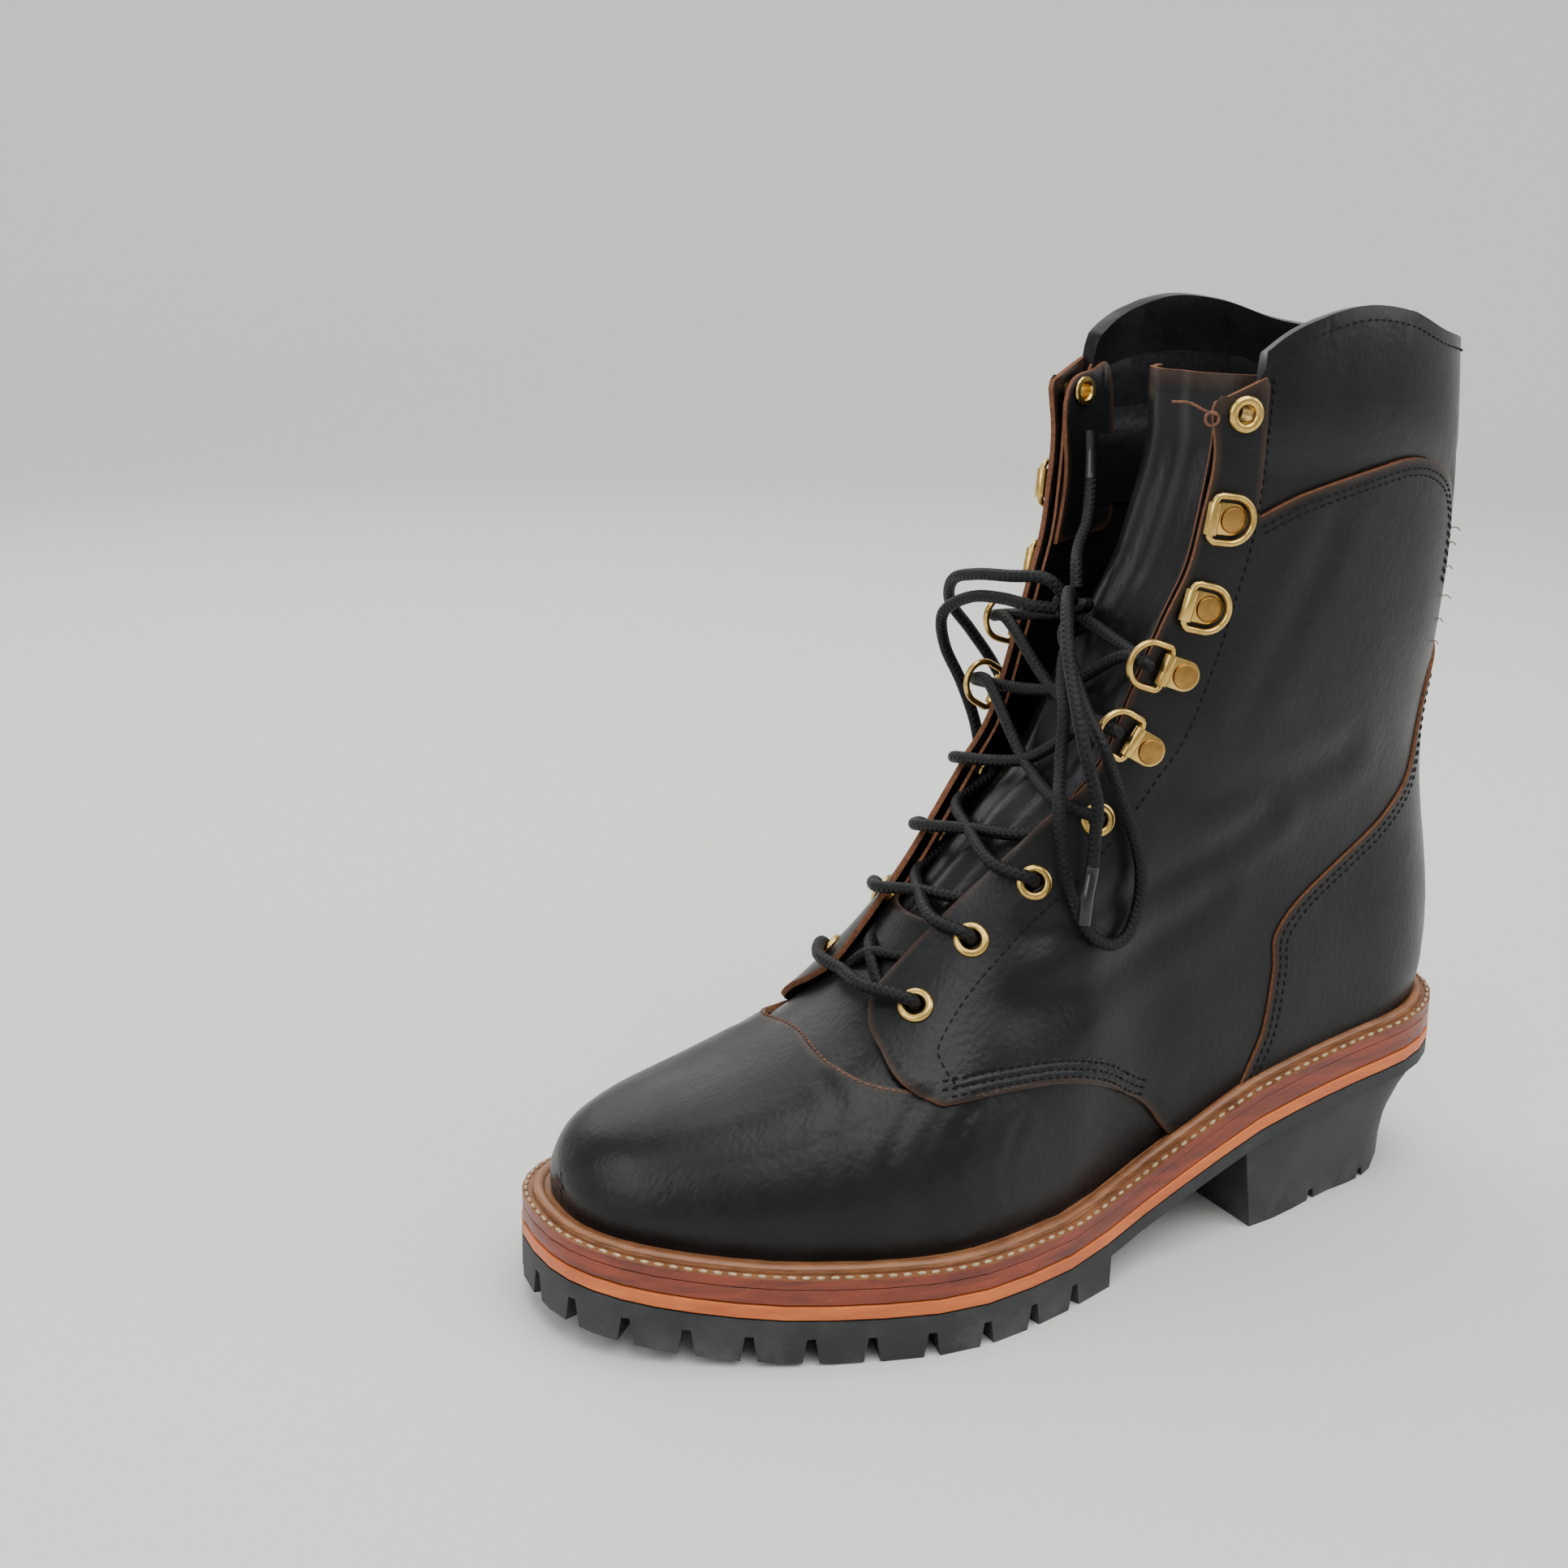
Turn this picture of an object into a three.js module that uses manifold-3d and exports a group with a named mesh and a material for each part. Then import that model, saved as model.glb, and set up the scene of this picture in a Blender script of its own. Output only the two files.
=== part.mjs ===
// A logger boot for the left foot, in millimetres. +X points to the toe, +Y to the outer side and +Z up.
// The upper is one hollow wall drawn from a table of rings, and every panel on it comes from the same rings.
import * as THREE from "three";
import { mergeVertices } from "three/addons/utils/BufferGeometryUtils.js";
import Module from "manifold-3d";

const wasm = await Module();
wasm.setup();

// Driving sizes.
const soleLength = 318; // heel back to toe tip, along the edge of the welt
const ballWidth = 116; // widest part of the sole
const upperHeight = 225; // top of the shaft above the heel seat
const shaftWidth = 88; // across the shaft at the collar
const weltReach = 8.5; // welt showing outside the upper
const upperWall = 2.2; // vamp leather and its lining
const panelThickness = 1.8; // leather of the quarters
const counterThickness = 2.8; // the counter laps over the quarters
const fitGap = 0.3; // between pieces that meet
const featherStep = 17; // half the longest straight step along the upper's bottom edge

const forefootRubber = 13; // lugs and base under the ball
const soleBase = 4.6; // rubber that runs on through the waist
const heelRise = 35; // how much higher the rubber's top is at the heel than at the ball
const toeSpring = 7.5;
const lowerMidsole = 4.2;
const upperMidsole = 4.8; // under the ball
const heelMidsole = 6.3; // the same layer under the heel
const weltThickness = 2.8;
const beadHeight = 1.6; // raised inner lip of a storm welt
const beadReach = 5; // from the upper outwards
const insoleThickness = 4;
const insoleClearance = 1.2; // from the upper's wall
const insoleTopRing = 0.018; // the last's ring level with the insole's top
const fillerInset = 16; // the welt's strip is this wide, and the insole's filler fills the rest
const throatGap = 12.5; // the quarters' edges stay at least this far from the middle plane
const tongueThickness = 2.2;
const tongueTuck = 12; // tongue hidden under the vamp
const eyeletSize = { flange: 5.3, hole: 2.5, barrel: 3.1, lip: 0.4, rise: 1.3 };
const clipSize = { width: 9.2, length: 7, plate: 1, rivet: 3.9, head: 1, tube: 2, bore: 1.25 };
const ringSize = { wire: 0.95, half: 6.6, reach: 12.6, pulled: 168 }; // degrees forward when laced
const laceRadius = 1.9;
const laceClearance = 3.5; // a lace's cut end stays this far from the flap that it goes under
const lugRear = 157; // where the lugs under the ball begin
const lugDepth = 7.5;
const lugPitch = 17.5;
const lugWidth = 17; // from the sole's edge inwards
const lugNotch = { open: 5.5, deep: 2.4, depth: 7.5, length: 23 };
const treadBlocks = { length: 11, width: 13, spacing: 16 };
const treadBlockPlaces = [0.62, 0.7, 0.78, 0.86]; // shares of soleLength
const heelNotch = { open: 4, deep: 2, depth: 3.5, length: 90 };
const heelNotchPlaces = [0.3, 0.62]; // shares of the heel's length
const heelBreast = 94; // front face of the heel on the floor
const breastSlope = 4; // the breast leans forward by this at its top
const heelUndercut = 13; // the back of the heel is set in by this at the floor
const heelInset = 1.5; // the heel block stands back from the sole's edge
const heelTaper = 6; // its sides lean in by this at the floor, towards the back
const heelRestX = 53; // the middle of the heel's flat on the floor

// Shape of the sole seen from above: half width and middle line, as shares of the ball width.
const soleShape = [
  { at: 0, half: 0.325, middle: 0 },
  { at: 0.12, half: 0.337, middle: 0 },
  { at: 0.28, half: 0.337, middle: 0.024 },
  { at: 0.42, half: 0.344, middle: 0.047 },
  { at: 0.55, half: 0.431, middle: 0.055 },
  { at: 0.68, half: 0.502, middle: 0.029 },
  { at: 0.8, half: 0.475, middle: -0.032 },
  { at: 0.92, half: 0.429, middle: -0.077 },
  { at: 1, half: 0.406, middle: -0.088 },
];
const heelRound = { share: 0.13, power: 2.3 };
const toeRound = { share: 0.24, power: 2.4 };

// Height of the rubber's top over that at the ball, as shares of heelRise.
const soleRise = [
  { at: 0, rise: 1 },
  { at: 0.14, rise: 0.843 },
  { at: 0.286, rise: 0.623 },
  { at: 0.393, rise: 0.303 },
  { at: 0.472, rise: 0.085 },
  { at: 0.56, rise: 0 },
  { at: 1, rise: 0 },
];

// The last's rings, from the welt (at 0) to the top. Each runs from a point on the back to one on the front.
// back and front are shares of the last's length, and the rises are shares of upperHeight.
// shaft says how far the ring is an oval of the shaft, and width is its share of shaftWidth.
const lastRings = [
  { at: 0, back: 0, backRise: 0, front: 1, frontRise: 0, shaft: 0, width: 0.8 },
  { at: 0.04, back: -0.006, backRise: 0.029, front: 1.001, frontRise: 0.043, shaft: 0, width: 0.8 },
  { at: 0.08, back: -0.009, backRise: 0.06, front: 0.992, frontRise: 0.08, shaft: 0, width: 0.8 },
  { at: 0.13, back: -0.009, backRise: 0.096, front: 0.968, frontRise: 0.118, shaft: 0, width: 0.8 },
  { at: 0.19, back: -0.007, backRise: 0.136, front: 0.919, frontRise: 0.154, shaft: 0, width: 0.8 },
  { at: 0.27, back: -0.002, backRise: 0.185, front: 0.829, frontRise: 0.196, shaft: 0.03, width: 0.8 },
  { at: 0.36, back: 0.005, backRise: 0.238, front: 0.7325, frontRise: 0.25, shaft: 0.12, width: 0.82 },
  { at: 0.45, back: 0.012, backRise: 0.292, front: 0.6595, frontRise: 0.333, shaft: 0.35, width: 0.84 },
  { at: 0.54, back: 0.018, backRise: 0.354, front: 0.606, frontRise: 0.428, shaft: 0.65, width: 0.86 },
  { at: 0.63, back: 0.021, backRise: 0.425, front: 0.57, frontRise: 0.53, shaft: 0.88, width: 0.88 },
  { at: 0.72, back: 0.016, backRise: 0.514, front: 0.543, frontRise: 0.643, shaft: 1, width: 0.91 },
  { at: 0.81, back: 0.009, backRise: 0.629, front: 0.527, frontRise: 0.763, shaft: 1, width: 0.94 },
  { at: 0.9, back: 0.015, backRise: 0.758, front: 0.52, frontRise: 0.892, shaft: 1, width: 0.97 },
  { at: 0.95, back: 0.021, backRise: 0.86, front: 0.517, frontRise: 1, shaft: 1, width: 1 },
  { at: 1, back: 0.028, backRise: 1.06, front: 0.513, frontRise: 1.185, shaft: 1, width: 1.02 },
];
const shaftPower = 2.15;
const sideSwell = 0.05; // the side bulges over the welt by this share
const settleEnd = 0.5; // the ring where the sole's own curve has faded out

// Lines of the panels on the last, the same on both sides: the ring, and the share of the way along it.
const throatEdge = [
  { ring: 0.274, along: 0.868 },
  { ring: 0.324, along: 0.938 },
  { ring: 0.359, along: 0.978 },
  { ring: 0.388, along: 0.993 },
  { ring: 0.414, along: 0.99 },
  { ring: 0.485, along: 0.973 },
  { ring: 0.571, along: 0.93 },
  { ring: 0.644, along: 0.867 },
  { ring: 0.721, along: 0.849 },
  { ring: 0.793, along: 0.824 },
  { ring: 0.846, along: 0.793 },
  { ring: 0.889, along: 0.781 },
  { ring: 0.932, along: 0.771 },
  { ring: 0.956, along: 0.787 },
];
const collarLine = [
  { ring: 0.972, along: 0.687 },
  { ring: 0.979, along: 0.623 },
  { ring: 0.984, along: 0.533 },
  { ring: 0.986, along: 0.452 },
  { ring: 0.984, along: 0.33 },
  { ring: 0.978, along: 0.2 },
  { ring: 0.974, along: 0.028 },
];
const quarterTop = [
  { ring: 0.966, along: 0.681 },
  { ring: 0.909, along: 0.674 },
  { ring: 0.889, along: 0.674 },
  { ring: 0.905, along: 0.583 },
  { ring: 0.922, along: 0.384 },
  { ring: 0.926, along: 0.285 },
  { ring: 0.919, along: 0.187 },
  { ring: 0.901, along: 0.119 },
  { ring: 0.87, along: 0.09 },
  { ring: 0.798, along: 0.1 },
];
const counterEdge = [
  { ring: 0.731, along: 0.031 },
  { ring: 0.7, along: 0.077 },
  { ring: 0.639, along: 0.084 },
  { ring: 0.547, along: 0.108 },
  { ring: 0.488, along: 0.171 },
  { ring: 0.42, along: 0.264 },
  { ring: 0.36, along: 0.322 },
  { ring: 0.299, along: 0.333 },
  { ring: 0.202, along: 0.3 },
  { ring: 0.086, along: 0.286 },
  { ring: 0, along: 0.303 },
];
const quarterFoot = [
  { ring: 0, along: 0.392 },
  { ring: 0.111, along: 0.456 },
  { ring: 0.19, along: 0.553 },
  { ring: 0.227, along: 0.635 },
  { ring: 0.242, along: 0.742 },
  { ring: 0.237, along: 0.795 },
];
const vampSeam = [
  { ring: 0.267, along: 0.854 },
  { ring: 0.279, along: 0.904 },
  { ring: 0.302, along: 0.959 },
  { ring: 0.33, along: 1 },
];

// Lace fittings up the throat, from the vamp to the collar.
const fittings = [
  { ring: 0.38, along: 0.951, kind: "eyelet" },
  { ring: 0.448, along: 0.933, kind: "eyelet" },
  { ring: 0.513, along: 0.892, kind: "eyelet" },
  { ring: 0.587, along: 0.84, kind: "eyelet" },
  { ring: 0.664, along: 0.789, kind: "ring", pulled: true },
  { ring: 0.743, along: 0.767, kind: "ring", pulled: true },
  { ring: 0.808, along: 0.751, kind: "ring", pulled: false },
  { ring: 0.889, along: 0.728, kind: "ring", pulled: false },
  { ring: 0.952, along: 0.723, kind: "eyelet" },
];

// The tongue from its root up: its depth below the quarters' edges, its half width, how far its sides droop
// and how far it leans to the outer side.
const tongueRows = [
  { at: 0.37, depth: 1.5, half: 20, droop: 7, lean: 0 },
  { at: 0.43, depth: 2.5, half: 21, droop: 8, lean: 0 },
  { at: 0.5, depth: 3, half: 22, droop: 8.5, lean: 0 },
  { at: 0.571, depth: 3, half: 23, droop: 9, lean: 0 },
  { at: 0.644, depth: 3, half: 24, droop: 8, lean: 1 },
  { at: 0.721, depth: 3, half: 25, droop: 8, lean: 4 },
  { at: 0.793, depth: 4, half: 25, droop: 9, lean: 7 },
  { at: 0.889, depth: 7, half: 25, droop: 10, lean: 9 },
  { at: 0.956, depth: 10, half: 24, droop: 11, lean: 10 },
];

// The knot and the free lengths of the lace, as they hang in front of the boot: x, y and z in its own frame.
const knotPlace = [93, 0, 197];
const knotHalf = [5.4, 6.4, 6.4];
const lateralLoop = [
  [96, 1.7, 191.2],
  [99.6, 4, 184.3],
  [104.5, 10.5, 178.5],
  [109.5, 19, 171.5],
  [114, 25, 159],
  [122, 36.5, 148],
  [120, 37, 135],
  [116.5, 36.5, 123],
  [113.5, 40, 113.5],
  [108.5, 41, 108.5],
  [103.5, 41, 106.5],
  [98, 40.5, 108.5],
  [94, 39.5, 116.5],
  [94, 40, 126.5],
  [96, 39.5, 135.5],
  [100, 39, 145.5],
  [105, 40, 155],
  [112, 43, 166],
  [112, 33, 176],
  [108, 19, 187],
  [103.7, 8.7, 193.1],
  [97.7, 3.75, 195.3],
];
const lateralEnd = [
  [97, 3.5, 200.6],
  [102, 8, 205],
  [109, 17, 202],
  [116, 29, 190],
  [121, 45, 169],
  [116, 46, 152],
  [114.5, 44, 143],
  [114, 43, 132],
  [116, 44, 124],
  [117, 44.5, 116],
];
const medialLoop = [
  [96.6, -2, 202.1],
  [101, -4.5, 206.5],
  [107, -16, 206],
  [110, -30, 204.5],
  [110, -42, 201],
  [105, -51, 192],
  [96, -52.5, 182],
  [88, -51, 171],
  [82, -48, 158],
  [80, -47, 142],
  [80, -47, 130],
  [85, -46.5, 124],
  [91, -46, 128],
  [94, -45.5, 139],
  [97, -46, 153],
  [101, -49, 166],
  [107, -50, 178],
  [112, -44, 190],
  [111, -30, 197.5],
  [108, -17, 199],
  [105, -7.3, 198.4],
  [98.2, -3.1, 197.6],
];
const medialEnd = [
  [91.6, -2.4, 203.2],
  [89.5, -6, 209.5],
  [84, -13, 214],
  [77, -19, 220],
  [72, -25, 229],
  [70, -28, 239],
  [70, -29, 247],
];

const clamp = (value, low, high) => Math.min(high, Math.max(low, value));
const mix = (a, b, share) => a + (b - a) * share;
function smoothStep(low, high, value) {
  const share = clamp((value - low) / (high - low), 0, 1);
  return share * share * (3 - 2 * share);
}

// A smooth curve through one column of a table, with no overshoot between rows.
function curveThrough(rows, column) {
  const x = rows.map((row) => row.at);
  const y = rows.map((row) => row[column]);
  const chord = x.slice(1).map((end, i) => (y[i + 1] - y[i]) / (end - x[i]));
  const slope = y.map((_, i) => {
    if (i === 0) return chord[0];
    if (i === y.length - 1) return chord[i - 1];
    const [before, after] = [chord[i - 1], chord[i]];
    return before * after <= 0 ? 0 : (2 * before * after) / (before + after);
  });
  return (at) => {
    let i = 0;
    while (i < x.length - 2 && at > x[i + 1]) i++;
    const width = x[i + 1] - x[i];
    const u = clamp((at - x[i]) / width, 0, 1);
    const [u2, u3] = [u * u, u * u * u];
    return (
      y[i] * (2 * u3 - 3 * u2 + 1) +
      slope[i] * width * (u3 - 2 * u2 + u) +
      y[i + 1] * (3 * u2 - 2 * u3) +
      slope[i + 1] * width * (u3 - u2)
    );
  };
}

// Sole: its outline and heights.
const soleHalf = curveThrough(soleShape, "half");
const soleMiddle = curveThrough(soleShape, "middle");
const riseAt = curveThrough(soleRise, "rise");
const roundEnd = (u, power) => Math.pow(1 - Math.pow(1 - clamp(u, 0, 1), power), 1 / power);

const treadZ = (x) => toeSpring * Math.pow(clamp((x / soleLength - 0.7) / 0.3, 0, 1.1), 2);
const rubberTop = (x) => treadZ(x) + forefootRubber + heelRise * riseAt(clamp(x / soleLength, 0, 1));
const lowerMidsoleTop = (x) => rubberTop(x) + fitGap + lowerMidsole;
const upperMidsoleTop = (x) =>
  lowerMidsoleTop(x) + fitGap + mix(heelMidsole, upperMidsole, smoothStep(0.3, 0.55, x / soleLength));
const weltTop = (x) => upperMidsoleTop(x) + fitGap + weltThickness;
// The upper's bottom edge. It rises a little where the sole bends down, to keep straight steps off the welt.
const featherZ = (x) => {
  const bend = weltTop(x) - (weltTop(x - featherStep) + weltTop(x + featherStep)) / 2;
  return weltTop(x) + 2 * fitGap + Math.max(0, bend);
};

function soleEdge(x, side) {
  const at = clamp(x / soleLength, 0, 1);
  const half =
    soleHalf(at) *
    roundEnd(at / heelRound.share, heelRound.power) *
    roundEnd((1 - at) / toeRound.share, toeRound.power);
  return ballWidth * (soleMiddle(at) + side * half);
}

// Places along the sole, closer together where it rounds off at an end.
function soleStations(from, to, count = 30) {
  const all = [];
  for (let i = 0; i <= count; i++) all.push((soleLength * (1 - Math.cos((Math.PI * i) / count))) / 2);
  return [from, ...all.filter((x) => x > from + 2 && x < to - 1e-6), to];
}

// The sole's edge as paired points, heel to toe, moved inwards by inset.
function soleOutline(inset, stations) {
  const edge = (side) => stations.map((x) => new THREE.Vector2(x, soleEdge(x, side)));
  const last = stations.length - 1;
  const pointed = Math.abs(soleEdge(stations[0], 1) - soleEdge(stations[0], -1)) < 1e-6;
  const loop = [...edge(1), ...edge(-1).slice(pointed ? 1 : 0, -1).reverse()];
  const shifted = loop.map((point, i) => {
    const before = loop[(i + loop.length - 1) % loop.length];
    const after = loop[(i + 1) % loop.length];
    const along = after.clone().sub(before).normalize();
    return new THREE.Vector2(point.x + along.y * inset, point.y - along.x * inset);
  });
  const lateral = shifted.slice(0, last + 1);
  const medial = [...(pointed ? [shifted[0]] : []), ...shifted.slice(last + 1).reverse(), shifted[last]];
  return { lateral, medial, loop: shifted };
}

// Solids.
function solidFrom(positions, triangles) {
  const geometry = new THREE.BufferGeometry();
  geometry.setAttribute("position", new THREE.Float32BufferAttribute(positions, 3));
  geometry.setIndex(triangles);
  return solidOf(geometry);
}

function solidOf(geometry) {
  const bare = geometry.clone();
  bare.deleteAttribute("normal");
  bare.deleteAttribute("uv");
  const merged = mergeVertices(bare, 1e-3);
  const vertProperties = new Float32Array(merged.attributes.position.array);
  const kept = [];
  const index = merged.index.array;
  for (let i = 0; i < index.length; i += 3) {
    const [a, b, c] = [index[i], index[i + 1], index[i + 2]];
    if (a !== b && b !== c && a !== c) kept.push(a, b, c);
  }
  const make = (triVerts) => new wasm.Manifold(new wasm.Mesh({ numProp: 3, vertProperties, triVerts }));
  const solid = make(new Uint32Array(kept));
  if (solid.volume() >= 0) return solid;
  for (let i = 0; i < kept.length; i += 3) [kept[i + 1], kept[i + 2]] = [kept[i + 2], kept[i + 1]];
  return make(new Uint32Array(kept));
}

function geometryOf(solid) {
  const mesh = solid.getMesh();
  const positions = new Float32Array(mesh.numVert * 3);
  for (let i = 0; i < mesh.numVert; i++) {
    for (let k = 0; k < 3; k++) positions[i * 3 + k] = mesh.vertProperties[i * mesh.numProp + k];
  }
  const geometry = new THREE.BufferGeometry();
  geometry.setAttribute("position", new THREE.BufferAttribute(positions, 3));
  geometry.setIndex(new THREE.BufferAttribute(mesh.triVerts, 1));
  geometry.computeVertexNormals();
  return geometry;
}

// A skin over sections of equal point counts. It closes on itself, or ends in a cap or in a section that
// has shrunk to a line or a point.
function loft(sections, { closed = false, caps = [true, true] } = {}) {
  const positions = [];
  const triangles = [];
  const count = sections[0].length;
  for (const section of sections) for (const point of section) positions.push(point.x, point.y, point.z);
  const last = closed ? sections.length : sections.length - 1;
  for (let i = 0; i < last; i++) {
    const next = (i + 1) % sections.length;
    for (let k = 0; k < count; k++) {
      const [a, b] = [i * count + k, i * count + ((k + 1) % count)];
      const [c, d] = [next * count + k, next * count + ((k + 1) % count)];
      triangles.push(a, b, d, a, d, c);
    }
  }
  [0, sections.length - 1].forEach((i, end) => {
    if (closed || !caps[end]) return;
    const middle = new THREE.Vector3();
    for (const point of sections[i]) middle.addScaledVector(point, 1 / count);
    const centre = positions.length / 3;
    positions.push(middle.x, middle.y, middle.z);
    for (let k = 0; k < count; k++) {
      const [a, b] = [i * count + k, i * count + ((k + 1) % count)];
      triangles.push(...(end ? [centre, a, b] : [centre, b, a]));
    }
  });
  return solidFrom(positions, triangles);
}
const noCaps = { caps: [false, false] };

// A plate of the sole between two heights, as sections from the heel to the toe.
function plate(inset, low, high, stations = soleStations(0, soleLength)) {
  const { lateral, medial } = soleOutline(inset, stations);
  return lateral.map((a, i) => {
    const b = medial[i];
    return [
      new THREE.Vector3(a.x, a.y, low(a.x)),
      new THREE.Vector3(a.x, a.y, high(a.x)),
      new THREE.Vector3(b.x, b.y, high(b.x)),
      new THREE.Vector3(b.x, b.y, low(b.x)),
    ];
  });
}

const box = (width, depth, height) => new THREE.BoxGeometry(width, depth, height);

function tube(points, radius, sides = 8, step = 9) {
  const shape = new THREE.Shape();
  for (let i = 0; i < sides; i++) {
    const angle = (2 * Math.PI * i) / sides;
    shape[i ? "lineTo" : "moveTo"](radius * Math.cos(angle), radius * Math.sin(angle));
  }
  shape.closePath();
  const extrudePath = new THREE.CatmullRomCurve3(points);
  const steps = Math.ceil(extrudePath.getLength() / step);
  return solidOf(new THREE.ExtrudeGeometry(shape, { steps, extrudePath, curveSegments: 1 }));
}

// A prism over an outline drawn in side view, out to one side of the middle plane or, with side 0, to both.
function sidePrism(outline, side) {
  const reach = 2 * ballWidth;
  const shape = new THREE.Shape(outline.map(([x, z]) => new THREE.Vector2(x, z)));
  const depth = side ? reach : 2 * reach;
  const geometry = new THREE.ExtrudeGeometry(shape, { depth, bevelEnabled: false });
  geometry.rotateX(Math.PI / 2).translate(0, side < 0 ? 0 : reach, 0);
  return solidOf(geometry);
}

// The last.
const lastLength = soleLength - 2 * weltReach;
const ring = {};
for (const column of ["back", "backRise", "front", "frontRise", "shaft", "width"]) {
  ring[column] = curveThrough(lastRings, column);
}
const settle = (at) => smoothStep(0.05, settleEnd, at);
const ringX = (share) => weltReach + share * lastLength;

// A point of the middle plane on ring "at", s from the back (0) to the front (1).
function middlePoint(at, s) {
  const x = mix(ringX(ring.back(at)), ringX(ring.front(at)), s);
  const [heelZ, toeZ] = [featherZ(weltReach), featherZ(soleLength - weltReach)];
  const straight = mix(heelZ + upperHeight * ring.backRise(at), toeZ + upperHeight * ring.frontRise(at), s);
  const sag = featherZ(x) - mix(heelZ, toeZ, (x - weltReach) / lastLength);
  return { x, z: straight + sag * (1 - settle(at)) };
}

// Height of the front profile over a place of the foot, from samples of the rings.
const ridgeSamples = [];
for (let i = 0; i <= 240; i++) ridgeSamples.push(middlePoint(i / 240, 1));
function ridgeZ(x) {
  for (let i = 1; i < ridgeSamples.length; i++) {
    const [a, b] = [ridgeSamples[i - 1], ridgeSamples[i]];
    if (x <= a.x && x >= b.x && a.x > b.x) return mix(a.z, b.z, (a.x - x) / (a.x - b.x));
  }
  return x > ridgeSamples[0].x ? ridgeSamples[0].z : ridgeSamples[ridgeSamples.length - 1].z;
}

// How round the foot is across: nearly a box at the toe, rounder at the instep.
const acrossPower = (x) => mix(1.95, 2.5, smoothStep(170, 270, x));

function ringHalf(at, s) {
  const { x, z } = middlePoint(at, s);
  const backX = ringX(ring.back(at));
  const share = x / soleLength;
  const fromHeel = (x - backX) / soleLength;
  const flat = ballWidth * soleHalf(clamp(share, 0, 1)) - weltReach;
  const ends =
    roundEnd(fromHeel / heelRound.share, heelRound.power) *
    roundEnd((soleLength - weltReach - x) / soleLength / toeRound.share, toeRound.power);
  const low = featherZ(x);
  const height = clamp((z - low) / Math.max(1, ridgeZ(x) - low), 0, 1);
  const power = acrossPower(x);
  const across = Math.pow(1 - Math.pow(height, power), 1 / power);
  const swell = 1 + sideSwell * Math.sin(Math.PI * clamp(height / 0.7, 0, 1));
  const foot = flat * ends * across * swell;
  const oval = Math.pow(1 - Math.pow(Math.abs(2 * s - 1), shaftPower), 1 / shaftPower);
  const shaft = (shaftWidth / 2) * ring.width(at) * oval;
  return mix(foot, shaft, ring.shaft(at));
}

function surfacePoint(at, angle) {
  const s = (1 + Math.cos(angle)) / 2;
  const { x, z } = middlePoint(at, s);
  const middle = ballWidth * soleMiddle(clamp(x / soleLength, 0, 1)) * (1 - settle(at));
  const side = Math.sin(angle) >= 0 ? 1 : -1;
  return new THREE.Vector3(x, middle + side * ringHalf(at, s), z);
}

function surfaceNormal(at, angle) {
  const step = 1e-3;
  const up = surfacePoint(Math.min(1, at + step), angle).sub(surfacePoint(Math.max(0, at - step), angle));
  const round = surfacePoint(at, angle + step * 4).sub(surfacePoint(at, angle - step * 4));
  return round.cross(up).normalize();
}

function grown(at, angle, grow) {
  const point = surfacePoint(at, angle).addScaledVector(surfaceNormal(at, angle), grow);
  return at === 0 ? point.setZ(featherZ(point.x)) : point;
}

const ringCount = 14;
const roundCount = 28;
const roundAngle = (k) => (2 * Math.PI * (k + 0.5)) / roundCount;
const overRound = (make) => Array.from({ length: roundCount }, (_, k) => make(roundAngle(k)));

// A line down the middle of the last's underside, a little short of its ends.
const spine = (lift) =>
  overRound((angle) => {
    const x = ringX(0.5 + 0.42 * Math.cos(angle));
    return new THREE.Vector3(x, ballWidth * soleMiddle(x / soleLength), featherZ(x) + lift);
  });

// The whole last as a closed form, grown outwards by grow and run on downwards by below.
function form(grow, below = 0) {
  const loops = [];
  for (let i = 0; i <= ringCount; i++) {
    const at = Math.pow(i / ringCount, 1.12);
    loops.push(overRound((angle) => grown(at, angle, grow)));
  }
  if (below) loops.unshift(loops[0].map((point) => point.clone().setZ(point.z - below)));
  return loft([spine(-below), ...loops], { caps: [false, true] });
}

// Side views of the panels.
const lineOf = (rows, shift = 0) =>
  rows.map((row) => {
    const { x, z } = middlePoint(row.ring, row.along);
    return [x + shift, z];
  });
const belowSole = 20;
const beyond = 60; // the cutting outlines run on past the last by this
const throatLine = lineOf(throatEdge);
const collarTop = lineOf(collarLine);
const [collarBack] = collarTop.slice(-1);
const aboveTop = collarBack[1] + beyond;
const [seamTip] = lineOf(vampSeam).slice(-1);

// What is cut away for the throat and above the collar.
const openingOutline = [
  [collarBack[0] - beyond, collarBack[1]],
  ...[...collarTop].reverse(),
  ...[...throatLine].reverse().map(([x, z]) => [x - fitGap, z]),
  ...lineOf(vampSeam),
  [seamTip[0] + 2, seamTip[1] + 12],
  [soleLength, aboveTop],
  [collarBack[0] - beyond, aboveTop],
];

const grownLine = (line, gap) => line.map(([x, z]) => [x + gap, z]);
function quarterOutline(gap = 0) {
  const foot = lineOf(quarterFoot);
  const counter = lineOf(counterEdge);
  return [
    ...grownLine(throatLine, gap),
    ...lineOf(quarterTop),
    ...counter.slice(1).map(([x, z]) => [x + fitGap - gap, z]),
    [counter.at(-1)[0] + fitGap - gap, counter.at(-1)[1] - belowSole],
    [foot[0][0] + gap, foot[0][1] - belowSole],
    ...grownLine(foot, gap),
  ];
}
function counterOutline(gap = 0) {
  const edge = lineOf(counterEdge, gap);
  const [top] = edge;
  return [
    [top[0] - beyond, top[1]],
    ...edge,
    [edge.at(-1)[0], edge.at(-1)[1] - belowSole],
    [top[0] - beyond, edge.at(-1)[1] - belowSole],
  ];
}

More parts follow.
